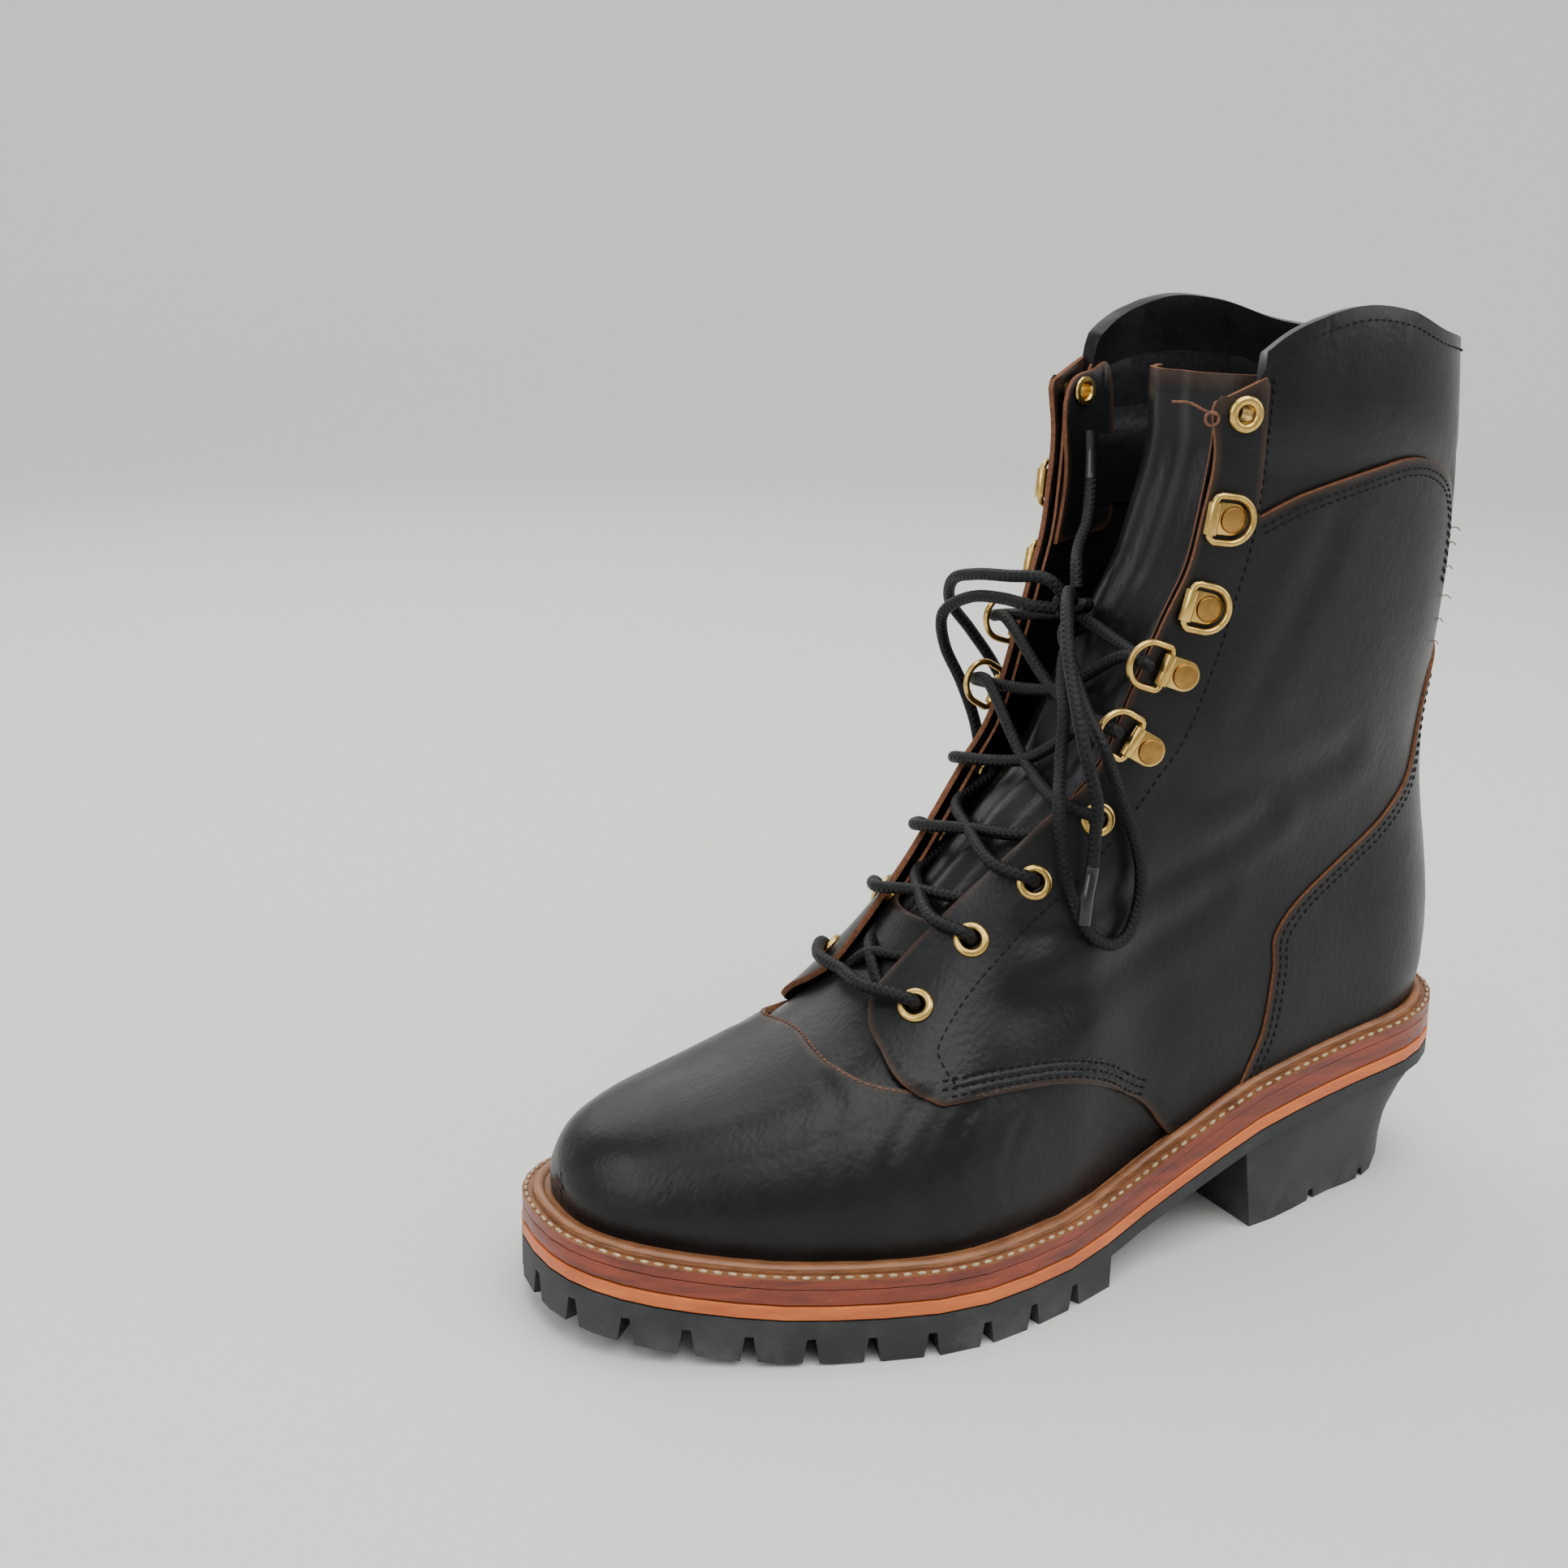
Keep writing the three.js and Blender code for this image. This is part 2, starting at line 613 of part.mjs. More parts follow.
// The throat's middle line, level with the quarters' edges.
const edgeAlong = curveThrough(throatEdge.map((row) => ({ at: row.ring, along: row.along })), "along");
function throatPoint(at, height = 0) {
  const { x, z } = middlePoint(at, edgeAlong(at));
  const point = new THREE.Vector3(x, 0, z);
  return height ? point.addScaledVector(throatOutward(at), height) : point;
}
function throatOutward(at) {
  const along = throatPoint(Math.min(1, at + 0.01)).sub(throatPoint(at - 0.01)).normalize();
  return new THREE.Vector3(along.z, 0, -along.x);
}

// Where a quarter's edge lies on a ring. Low in the throat it keeps away from the middle plane.
function flapEdge(at) {
  let [low, high] = [0.8, edgeAlong(at)];
  if (ringHalf(at, high) >= throatGap) return { ring: at, along: high };
  for (let i = 0; i < 20; i++) {
    const middle = (low + high) / 2;
    if (ringHalf(at, middle) > throatGap) low = middle;
    else high = middle;
  }
  return { ring: at, along: low };
}
const wedgeReach = { under: 9, over: 25 };
function throatWedge(gap) {
  const rows = throatEdge.filter(({ ring: at }) => at > 0.35 && at < 0.7);
  return loft(
    rows.map(({ ring: at }) => {
      const half = ringHalf(at, flapEdge(at).along) + gap;
      const corner = (height, side) => throatPoint(at, height).setY(side * half);
      const { under, over } = wedgeReach;
      return [corner(-under, -1), corner(over, -1), corner(over, 1), corner(-under, 1)];
    }),
  );
}

// A panel lies on the last between two distances from it.
const panel = (outline, side, low, high, below = 0) =>
  form(high, below).subtract(form(low, belowSole)).intersect(sidePrism(outline, side));

// Frames on the quarters: where a fitting sits, with its own axes outwards, forwards and across.
const panelTopAt = fitGap + panelThickness;
function placeOn({ ring: at, along }, side, height) {
  const angle = Math.acos(2 * along - 1);
  const turn = side > 0 ? angle : 2 * Math.PI - angle;
  return { point: grown(at, turn, height), normal: surfaceNormal(at, turn) };
}
function fittingFrame(index, side, height = panelTopAt) {
  const { point, normal } = placeOn(fittings[index], side, height);
  const before = placeOn(fittings[Math.max(0, index - 1)], side, height).point;
  const after = placeOn(fittings[Math.min(fittings.length - 1, index + 1)], side, height).point;
  const up = after.sub(before);
  up.addScaledVector(normal, -up.dot(normal)).normalize();
  const forward = new THREE.Vector3().crossVectors(normal, up).multiplyScalar(side);
  const across = new THREE.Vector3().crossVectors(normal, forward);
  return new THREE.Matrix4().makeBasis(forward, across, normal).setPosition(point);
}

const materials = {
  leather: new THREE.MeshStandardMaterial({ color: 0x17191b, roughness: 0.45, metalness: 0 }),
  rubber: new THREE.MeshStandardMaterial({ color: 0x24272a, roughness: 0.7, metalness: 0 }),
  orange: new THREE.MeshStandardMaterial({ color: 0xb5562c, roughness: 0.55, metalness: 0 }),
  red: new THREE.MeshStandardMaterial({ color: 0x7a2c18, roughness: 0.5, metalness: 0 }),
  welt: new THREE.MeshStandardMaterial({ color: 0x6f4526, roughness: 0.5, metalness: 0 }),
  brass: new THREE.MeshStandardMaterial({ color: 0xb08d3c, roughness: 0.25, metalness: 1 }),
  lace: new THREE.MeshStandardMaterial({ color: 0x121314, roughness: 0.6, metalness: 0 }),
  insole: new THREE.MeshStandardMaterial({ color: 0x8a6a45, roughness: 0.8, metalness: 0 }),
};

const boot = new THREE.Group();
boot.position.x = -heelRestX;
function add(name, solid, material, frame = new THREE.Matrix4()) {
  const mesh = new THREE.Mesh(geometryOf(solid), material);
  mesh.name = name;
  mesh.applyMatrix4(frame);
  boot.add(mesh);
}

// Sole.
// A wedge that cuts upwards from the floor, narrower at its deep end.
function notch(point, inward, { open, deep, depth, length }) {
  const shape = new THREE.Shape([
    new THREE.Vector2(-open / 2, -2),
    new THREE.Vector2(open / 2, -2),
    new THREE.Vector2(deep / 2, depth),
    new THREE.Vector2(-deep / 2, depth),
  ]);
  const geometry = new THREE.ExtrudeGeometry(shape, { depth: length, bevelEnabled: false });
  const up = new THREE.Vector3(0, 0, 1);
  const side = new THREE.Vector3().crossVectors(up, inward);
  return solidOf(geometry.applyMatrix4(new THREE.Matrix4().makeBasis(side, up, inward).setPosition(point)));
}

function outsole() {
  const lugPlate = plate(0, treadZ, rubberTop, soleStations(lugRear, soleLength));
  const forefoot = loft(lugPlate, { caps: [true, false] });
  const runner = loft(plate(0, (x) => rubberTop(x) - soleBase, rubberTop), noCaps);
  const hollow = loft(plate(lugWidth, (x) => treadZ(x) - 5, (x) => treadZ(x) + lugDepth), noCaps);
  const half = box(soleLength, 2 * ballWidth, 8 * lugDepth);
  half.translate(lugRear + lugWidth + soleLength / 2, 0, 0);
  let body = forefoot.add(runner).subtract(hollow.intersect(solidOf(half)));

  const loop = soleOutline(0, soleStations(lugRear, soleLength)).loop;
  const edge = new THREE.CatmullRomCurve3(loop.map((point) => new THREE.Vector3(point.x, point.y, 0)));
  const count = Math.round(edge.getLength() / lugPitch);
  for (let i = 1; i < count; i++) {
    const along = edge.getTangentAt(i / count);
    const inward = new THREE.Vector3(along.y, -along.x, 0);
    const point = edge.getPointAt(i / count).addScaledVector(inward, -4);
    point.z = treadZ(point.x);
    body = body.subtract(notch(point, inward, lugNotch));
  }
  for (const share of treadBlockPlaces) {
    const x = share * soleLength;
    for (const row of [-1, 0, 1]) {
      const block = box(treadBlocks.length, treadBlocks.width, lugDepth + 2);
      const y = ballWidth * soleMiddle(share) + row * treadBlocks.spacing;
      block.translate(row ? x : x + treadBlocks.length + 1.5, y, treadZ(x) + lugDepth / 2 + 1);
      body = body.add(solidOf(block));
    }
  }
  return body;
}

function heelBlock() {
  const count = 12;
  const levels = 6;
  const sections = [];
  for (let j = 0; j < levels; j++) {
    const u = j / (levels - 1);
    const breast = heelBreast + breastSlope * u;
    const back = heelUndercut * (1 - Math.pow(u, 2.6));
    const side = (sign) => {
      const points = [];
      for (let i = 0; i <= count; i++) {
        const x = heelBreast * (1 - Math.cos((Math.PI * i) / (2 * count)));
        const taper = heelTaper * (1 - u * u) * (1 - smoothStep(0.35, 0.95, x / heelBreast));
        const edge = soleEdge(x, sign) - sign * (heelInset + taper) * Math.min(1, x / 10);
        const atX = mix(back, breast, x / heelBreast);
        points.push(new THREE.Vector3(atX, edge, u * (rubberTop(atX) - soleBase - fitGap)));
      }
      return points;
    };
    sections.push([...side(1).reverse(), ...side(-1).slice(1)]);
  }
  let body = loft(sections);
  for (const place of heelNotchPlaces) {
    for (const side of [-1, 1]) {
      const point = new THREE.Vector3(mix(heelUndercut, heelBreast, place), side * ballWidth, 0);
      body = body.subtract(notch(point, new THREE.Vector3(0, -side, 0), heelNotch));
    }
  }
  return body;
}

// A strip that follows the sole's edge, between two insets.
function strip(outer, inner, low, high) {
  const solid = loft(plate(outer, low, high), noCaps);
  const core = plate(inner, (x) => low(x) - 5, (x) => high(x) + 5);
  return solid.subtract(loft(core, noCaps));
}

function welt() {
  const base = strip(fitGap, fillerInset, (x) => upperMidsoleTop(x) + fitGap, weltTop);
  const beadFoot = (x) => weltTop(x) - 1;
  const bead = strip(weltReach - beadReach, fillerInset, beadFoot, (x) => weltTop(x) + beadHeight);
  const cleared = bead
    .subtract(form(fitGap, belowSole))
    .subtract(panel(quarterOutline(fitGap), 1, -1, panelTopAt + fitGap, beadHeight))
    .subtract(panel(quarterOutline(fitGap), -1, -1, panelTopAt + fitGap, beadHeight))
    .subtract(panel(counterOutline(fitGap), 0, -1, counterThickness + 2 * fitGap, beadHeight));
  return base.add(cleared);
}

// The bed inside the upper, with a core that fills the welt's ring.
function insole() {
  const loop = (at, lift) =>
    overRound((angle) => {
      const point = grown(at, angle, -upperWall - insoleClearance);
      return point.setZ(featherZ(point.x) + lift);
    });
  const [low, high] = [fitGap, insoleThickness];
  const bed = loft([spine(low), loop(0, low), loop(insoleTopRing, high), spine(high)], noCaps);
  const core = plate(fillerInset + fitGap, (x) => upperMidsoleTop(x) + fitGap, (x) => featherZ(x) + 1);
  return bed.add(loft(core, noCaps));
}

add("outsole", outsole(), materials.rubber);
add("heel_block", heelBlock(), materials.rubber);
add("midsole_lower", loft(plate(0, (x) => rubberTop(x) + fitGap, lowerMidsoleTop), noCaps), materials.orange);
add(
  "midsole_upper",
  loft(plate(fitGap, (x) => lowerMidsoleTop(x) + fitGap, upperMidsoleTop), noCaps),
  materials.red,
);
add("welt", welt(), materials.welt);
add("insole", insole(), materials.insole);

// Upper, with holes for the eyelets.
const eyelets = fittings.flatMap((row, index) => (row.kind === "eyelet" ? [index] : []));
const sides = { lateral: 1, medial: -1 };
const drillLength = 16;
function punched(solid, chosen) {
  let body = solid;
  for (const side of chosen) {
    for (const index of eyelets) {
      const radius = eyeletSize.barrel + fitGap;
      const drill = new THREE.CylinderGeometry(radius, radius, drillLength, 9);
      drill.rotateX(Math.PI / 2);
      body = body.subtract(solidOf(drill.applyMatrix4(fittingFrame(index, side))));
    }
  }
  return body;
}

const opening = sidePrism(openingOutline, 0);
const shell = form(0).subtract(form(-upperWall, belowSole)).subtract(opening).subtract(throatWedge(fitGap));
add("upper", punched(shell, [1, -1]), materials.leather);
for (const [name, side] of Object.entries(sides)) {
  const quarter = panel(quarterOutline(), side, fitGap, panelTopAt).subtract(throatWedge(0));
  add(`quarter_${name}`, punched(quarter, [side]), materials.leather);
}
add("heel_counter", panel(counterOutline(), 0, fitGap, fitGap + counterThickness), materials.leather);

// Tongue: a tab that follows the vamp from inside, and a sheet up the throat.
const tongueColumn = {};
for (const column of ["depth", "half", "droop", "lean"]) {
  tongueColumn[column] = curveThrough(tongueRows, column);
}
const tongueMiddle = (at) => throatPoint(at, -tongueColumn.depth(at));
function tongue() {
  const steps = 12;
  const across = 6;
  const sections = [];
  for (let i = 0; i <= steps; i++) {
    const at = mix(tongueRows[0].at, tongueRows.at(-1).at, i / steps);
    const point = tongueMiddle(at);
    const outward = throatOutward(at);
    const row = (below) => {
      const points = [];
      for (let k = 0; k <= across; k++) {
        const u = (2 * k) / across - 1;
        const drop = -below - tongueColumn.droop(at) * u * u;
        const y = tongueColumn.lean(at) + tongueColumn.half(at) * u;
        points.push(point.clone().addScaledVector(outward, drop).setY(y));
      }
      return points;
    };
    sections.push([...row(0), ...row(tongueThickness).reverse()]);
  }
  const sheet = loft(sections);
  const seam = lineOf(vampSeam);
  const tab = form(-upperWall - fitGap)
    .subtract(form(-upperWall - fitGap - tongueThickness))
    .intersect(sidePrism([
      [seam[0][0] - 12, seam[0][1] - 5],
      [seamTip[0] + tongueTuck, seam[0][1] - 5],
      [seamTip[0] + tongueTuck, aboveTop],
      [seam[0][0] - 3, aboveTop],
    ], 0));
  return tab.add(sheet);
}
add("tongue", tongue(), materials.leather);

// Eyelets, clips and rings.
const fittingLift = 2 * fitGap; // the quarters curve away under a flat fitting
function eyelet() {
  const { flange, hole, barrel, lip, rise } = eyeletSize;
  const depth = panelThickness + upperWall + fitGap;
  const profile = [
    [hole, -depth],
    [barrel, -depth],
    [barrel, fittingLift],
    [flange, fittingLift],
    [flange, fittingLift + lip],
    [(flange + hole) / 2, fittingLift + rise],
    [hole, fittingLift + lip],
    [hole, -depth],
  ];
  const points = profile.map(([r, z]) => new THREE.Vector2(r, z));
  return solidOf(new THREE.LatheGeometry(points, 8).rotateX(Math.PI / 2));
}

const tubeZ = fittingLift + clipSize.tube;
function clip() {
  const half = clipSize.width / 2;
  const shape = new THREE.Shape();
  shape.moveTo(0, -half);
  shape.lineTo(clipSize.length, -half);
  shape.lineTo(clipSize.length, half);
  shape.lineTo(0, half);
  shape.absarc(0, 0, half, Math.PI / 2, (3 * Math.PI) / 2);
  const settings = { depth: clipSize.plate, bevelEnabled: false, curveSegments: 4 };
  const sheet = new THREE.ExtrudeGeometry(shape, settings).translate(0, 0, fittingLift);
  const head = new THREE.CylinderGeometry(clipSize.rivet * 0.8, clipSize.rivet, clipSize.head, 10);
  head.rotateX(Math.PI / 2).translate(0, 0, fittingLift + clipSize.plate + clipSize.head / 2 - 0.1);
  const roll = (radius, length) =>
    solidOf(new THREE.CylinderGeometry(radius, radius, length, 8).translate(clipSize.length, 0, tubeZ));
  return solidOf(sheet)
    .add(solidOf(head))
    .add(roll(clipSize.tube, clipSize.width))
    .subtract(roll(clipSize.bore, clipSize.width + 4));
}

// A D-ring about its straight bar, lying back over the rivet.
function dRing() {
  const { wire, half, reach } = ringSize;
  const path = [new THREE.Vector2(0, -half), new THREE.Vector2(0, half)];
  const arc = 6;
  for (let i = 0; i <= arc; i++) {
    const turn = Math.PI / 2 + (Math.PI * i) / arc;
    path.push(new THREE.Vector2(half - reach + half * Math.cos(turn), half * Math.sin(turn)));
  }
  const sides = 5;
  const sections = path.map((point, i) => {
    const before = path[(i + path.length - 1) % path.length];
    const after = path[(i + 1) % path.length];
    const first = point.clone().sub(before).normalize();
    const along = after.clone().sub(point).normalize().add(first).normalize();
    const widen = 1 / Math.max(0.7, first.dot(along));
    return Array.from({ length: sides }, (_, k) => {
      const phi = (2 * Math.PI * k) / sides;
      const out = wire * Math.cos(phi) * widen;
      return new THREE.Vector3(point.x + along.y * out, point.y - along.x * out, wire * Math.sin(phi));
    });
  });
  return loft(sections, { closed: true });
}

// A D-ring's frame has its origin on the hinge line and +Y along it, and angle turns it forwards.
function ringFrame(frame, angle) {
  return frame
    .clone()
    .multiply(new THREE.Matrix4().makeTranslation(clipSize.length, 0, tubeZ))
    .multiply(new THREE.Matrix4().makeRotationY(angle));
}

const pulledAngle = THREE.MathUtils.degToRad(ringSize.pulled);
for (const [name, side] of Object.entries(sides)) {
  const count = { eyelet: 0, ring: 0 };
  fittings.forEach((row, index) => {
    const number = ++count[row.kind];
    const frame = fittingFrame(index, side);
    if (row.kind === "eyelet") {
      add(`eyelet_${name}_${number}`, eyelet(), materials.brass, frame);
      return;
    }
    add(`clip_${name}_${number}`, clip(), materials.brass, frame);
    add(`ring_${name}_${number}`, dRing(), materials.brass, ringFrame(frame, row.pulled ? pulledAngle : 0));
  });
}

// Laces. Heights are those of a lace's middle over the last.
const overEyelet = panelTopAt + fittingLift + eyeletSize.rise + laceRadius + 4 * fitGap;
const overFlap = panelTopAt + laceRadius + 2 * fitGap;
const overTongue = 1.6; // over the line that joins the quarters' edges
const between = (index, share) => mix(fittings[index].ring, fittings[index + 1].ring, share);
const atFitting = (index, side) => placeOn(fittings[index], side, overEyelet).point;
const atEdge = (ringAt, side, height = overFlap) => placeOn(flapEdge(ringAt), side, height).point;
const atMiddle = (ringAt, height = overTongue) => throatPoint(ringAt, height);
// The place on the way from the middle to a flap where a lace is about to go under it.
function beforeFlap(middle, ringAt, side) {
  const edge = atEdge(ringAt, side, 0);
  return middle.clone().lerp(edge, 1 - (laceRadius + laceClearance) / middle.distanceTo(edge));
}
// Through a ring that is pulled forwards: below it, then above it, in the clip's own frame.
const ringPass = [
  { fromTip: 1.4, height: -1.2 },
  { fromTip: 5.2, height: 6.5 },
];
function throughRing(index, side) {
  const frame = fittingFrame(index, side);
  const tip = clipSize.length + ringSize.reach;
  return ringPass.map(({ fromTip, height }) =>
    new THREE.Vector3(tip - fromTip, 0, height).applyMatrix4(frame),
  );
}
const laceSolid = (points) => tube(points, laceRadius, 6, 9);
const crossed = (strand) => laceSolid(strand(1)).add(laceSolid(strand(-1)));

const place = ([x, y, z]) => new THREE.Vector3(x + heelRestX, y, z);
const barHeight = 5.5;
const bar = [1, -1].map((side) => [atFitting(0, side), atEdge(0.385, side, barHeight + 0.5)]);
add("lace_bar", laceSolid([...bar[0], atMiddle(0.388, barHeight), ...bar[1].reverse()]), materials.lace);
for (const index of [0, 1, 2]) {
  const strand = (side) => {
    const middle = atMiddle(between(index, 0.5));
    const start = [atFitting(index, side), atEdge(between(index, 0.25), side)];
    return [
      ...(index ? start : [beforeFlap(middle, between(index, 0.25), side)]),
      middle,
      beforeFlap(middle, between(index, 0.72), -side),
    ];
  };
  add(`lace_cross_${index + 1}`, crossed(strand), materials.lace);
}
const upperStrand = (side) => [
  atFitting(3, side),
  atEdge(between(3, 0.25), side),
  atMiddle(between(3, 0.5), overTongue + 0.8),
  ...throughRing(4, -side),
  atMiddle(between(4, 0.5), overTongue + 1.8),
  ...throughRing(5, side),
  place(knotPlace).add(new THREE.Vector3(1.4, side * (knotHalf[1] + 0.4), -1.4)),
];
add("lace_cross_4", crossed(upperStrand), materials.lace);

const freeLace = (points) => tube(points.map(place), laceRadius);
const knot = new THREE.IcosahedronGeometry(1, 1).scale(...knotHalf);
add("lace_knot", solidOf(knot.translate(...place(knotPlace).toArray())), materials.lace);
add("lace_loop_lateral", freeLace(lateralLoop), materials.lace);
add("lace_loop_medial", freeLace(medialLoop), materials.lace);
add("lace_end_lateral", freeLace(lateralEnd), materials.lace);
add("lace_end_medial", freeLace(medialEnd), materials.lace);

export default boot;
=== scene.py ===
import bmesh
import bpy
import math
import numpy as np
from mathutils import Matrix, Vector, geometry


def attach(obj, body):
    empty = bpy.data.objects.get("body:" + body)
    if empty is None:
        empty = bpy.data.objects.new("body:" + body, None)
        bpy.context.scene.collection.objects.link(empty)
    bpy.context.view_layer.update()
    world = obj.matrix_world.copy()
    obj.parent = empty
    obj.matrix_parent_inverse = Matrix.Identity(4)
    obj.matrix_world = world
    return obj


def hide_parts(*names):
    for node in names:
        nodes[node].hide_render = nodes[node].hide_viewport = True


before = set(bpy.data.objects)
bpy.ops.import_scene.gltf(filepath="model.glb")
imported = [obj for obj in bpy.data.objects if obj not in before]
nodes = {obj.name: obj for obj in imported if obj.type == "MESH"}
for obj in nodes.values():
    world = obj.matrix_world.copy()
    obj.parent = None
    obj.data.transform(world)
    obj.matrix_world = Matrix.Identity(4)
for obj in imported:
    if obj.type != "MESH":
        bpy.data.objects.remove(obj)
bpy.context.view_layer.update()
print("frame loaded")

# Sizes of the boot in millimetres. Along the sole, x starts at the back of the heel.
boot = {
    "soleLength": 318,
    "ballWidth": 116,
    "upperHeight": 225,
    "shaftWidth": 88,
    "weltReach": 8.5,
    "wall": 2.2,
    "panel": 1.8,
    "gap": 0.3,
    "featherStep": 17,
    "forefootRubber": 13,
    "heelRise": 35,
    "toeSpring": 7.5,
    "lowerMidsole": 4.2,
    "upperMidsole": 4.8,
    "heelMidsole": 6.3,
    "welt": 2.8,
    "throatGap": 12.5,
    "heelRestX": 53,
}
millimetre = 0.001

# The sole from above, as shares of the ball's width, and the rise of the rubber's top.
soleShape = {
    "at": [0, 0.12, 0.28, 0.42, 0.55, 0.68, 0.8, 0.92, 1],
    "half": [0.325, 0.337, 0.337, 0.344, 0.431, 0.502, 0.475, 0.429, 0.406],
    "middle": [0, 0, 0.024, 0.047, 0.055, 0.029, -0.032, -0.077, -0.088],
}

# How far the sole's ends round over, as shares of its length, and by which power.
heelRound = (0.13, 2.3)
toeRound = (0.24, 2.4)
soleRise = {"at": [0, 0.14, 0.286, 0.393, 0.472, 0.56, 1], "rise": [1, 0.843, 0.623, 0.303, 0.085, 0, 0]}

# The last's rings from the welt up: where each starts at the back and ends at the front, and how high.
rings = {
    "at": [0, 0.04, 0.08, 0.13, 0.19, 0.27, 0.36, 0.45, 0.54, 0.63, 0.72, 0.81, 0.9, 0.95, 1],
    "back": [0, -0.006, -0.009, -0.009, -0.007, -0.002, 0.005, 0.012, 0.018, 0.021, 0.016, 0.009, 0.015, 0.021, 0.028],
    "backRise": [0, 0.029, 0.06, 0.096, 0.136, 0.185, 0.238, 0.292, 0.354, 0.425, 0.514, 0.629, 0.758, 0.86, 1.06],
    "front": [1, 1.001, 0.992, 0.968, 0.919, 0.829, 0.7325, 0.6595, 0.606, 0.57, 0.543, 0.527, 0.52, 0.517, 0.513],
    "frontRise": [0, 0.043, 0.08, 0.118, 0.154, 0.196, 0.25, 0.333, 0.428, 0.53, 0.643, 0.763, 0.892, 1, 1.185],
    "shaft": [0, 0, 0, 0, 0, 0.03, 0.12, 0.35, 0.65, 0.88, 1, 1, 1, 1, 1],
    "width": [0.8, 0.8, 0.8, 0.8, 0.8, 0.8, 0.82, 0.84, 0.86, 0.88, 0.91, 0.94, 0.97, 1, 1.02],
}
shaftPower = 2.15
sideSwell = {"share": 0.05, "end": 0.7}

# Rings between which the last lets go of the sole's bend, and how the toe's cross-section squares up.
settle = (0.05, 0.5)
toePower = {"least": 1.95, "more": 0.55, "from": 170, "to": 270}

# Steps of a slope on the last, which reach further where the toe's lowest rings turn sharply.
slopeStep = {"up": 2e-3, "around": 8e-3, "toe": 0.13, "below": 0.075, "within": 0.08}

# Lines of the panels: the ring, and the share of the way along it from back to front.
throatEdge = [
    (0.274, 0.868), (0.324, 0.938), (0.359, 0.978), (0.388, 0.993), (0.414, 0.99), (0.485, 0.973), (0.571, 0.93),
    (0.644, 0.867), (0.721, 0.849), (0.793, 0.824), (0.846, 0.793), (0.889, 0.781), (0.932, 0.771), (0.956, 0.787),
]
collarLine = [
    (0.972, 0.687), (0.979, 0.623), (0.984, 0.533), (0.986, 0.452), (0.984, 0.33), (0.978, 0.2), (0.974, 0.028),
]
facingTop = [(0.956, 0.787), (0.966, 0.681)]
facingBack = [(0.966, 0.681), (0.909, 0.674), (0.889, 0.674)]
quarterTop = [
    (0.889, 0.674), (0.905, 0.583), (0.922, 0.384), (0.926, 0.285), (0.919, 0.187), (0.901, 0.119), (0.87, 0.09),
    (0.798, 0.1), (0.72, 0.07),
]
counterEdge = [
    (0.731, 0.031), (0.7, 0.077), (0.639, 0.084), (0.547, 0.108), (0.488, 0.171), (0.42, 0.264), (0.36, 0.322),
    (0.299, 0.333), (0.202, 0.3), (0.086, 0.286), (0, 0.303),
]
quarterFoot = [(0, 0.392), (0.111, 0.456), (0.19, 0.553), (0.227, 0.635), (0.242, 0.742), (0.237, 0.795)]
vampSeam = [(0.267, 0.854), (0.279, 0.904), (0.302, 0.959), (0.33, 1)]
fittings = [
    (0.38, 0.951), (0.448, 0.933), (0.513, 0.892), (0.587, 0.84), (0.664, 0.789), (0.743, 0.767), (0.808, 0.751),
    (0.889, 0.728), (0.952, 0.723),
]
eyelets = [0, 1, 2, 3, 8]
clips = [4, 5, 6, 7]

# The tongue's rows: depth in the throat, half width, droop of its sides and lean to the outer side.
tongueRows = {
    "at": [0.3, 0.37, 0.43, 0.5, 0.571, 0.644, 0.721, 0.793, 0.889, 0.956],
    "depth": [2.5, 1.5, 2.5, 3, 3, 3, 3, 4, 7, 10],
    "half": [19, 20, 21, 22, 23, 24, 25, 25, 25, 24],
    "droop": [6, 7, 8, 8.5, 9, 8, 8, 9, 10, 11],
    "lean": [0, 0, 0, 0, 0, 1, 4, 7, 9, 10],
}


# A smooth curve through one column of a table that overshoots none of its values.
def curveThrough(table, column):
    x, y = np.array(table["at"], float), np.array(table[column], float)
    chord = np.diff(y) / np.diff(x)
    slope = np.empty(len(x))
    slope[0], slope[-1] = chord[0], chord[-1]
    product, total = chord[:-1] * chord[1:], chord[:-1] + chord[1:]
    slope[1:-1] = np.where(product <= 0, 0, 2 * product / np.where(total == 0, 1, total))

    def at(value):
        value = np.asarray(value, float)
        i = np.clip(np.searchsorted(x, value) - 1, 0, len(x) - 2)
        width = x[i + 1] - x[i]
        u = np.clip((value - x[i]) / width, 0, 1)
        u2, u3 = u * u, u * u * u
        return (
            y[i] * (2 * u3 - 3 * u2 + 1)
            + slope[i] * width * (u3 - 2 * u2 + u)
            + y[i + 1] * (3 * u2 - 2 * u3)
            + slope[i + 1] * width * (u3 - u2)
        )

    return at


def smoothStep(low, high, value):
    share = np.clip((np.asarray(value, float) - low) / (high - low), 0, 1)
    return share * share * (3 - 2 * share)


def roundEnd(u, power):
    return (1 - (1 - np.clip(u, 0, 1)) ** power) ** (1 / power)


soleHalf, soleMiddle = curveThrough(soleShape, "half"), curveThrough(soleShape, "middle")
riseAt = curveThrough(soleRise, "rise")
ring = {column: curveThrough(rings, column) for column in rings if column != "at"}
lastLength = boot["soleLength"] - 2 * boot["weltReach"]


def treadZ(x):
    return boot["toeSpring"] * np.clip((x / boot["soleLength"] - 0.7) / 0.3, 0, 1.1) ** 2


def rubberTop(x):
    return treadZ(x) + boot["forefootRubber"] + boot["heelRise"] * riseAt(np.clip(x / boot["soleLength"], 0, 1))


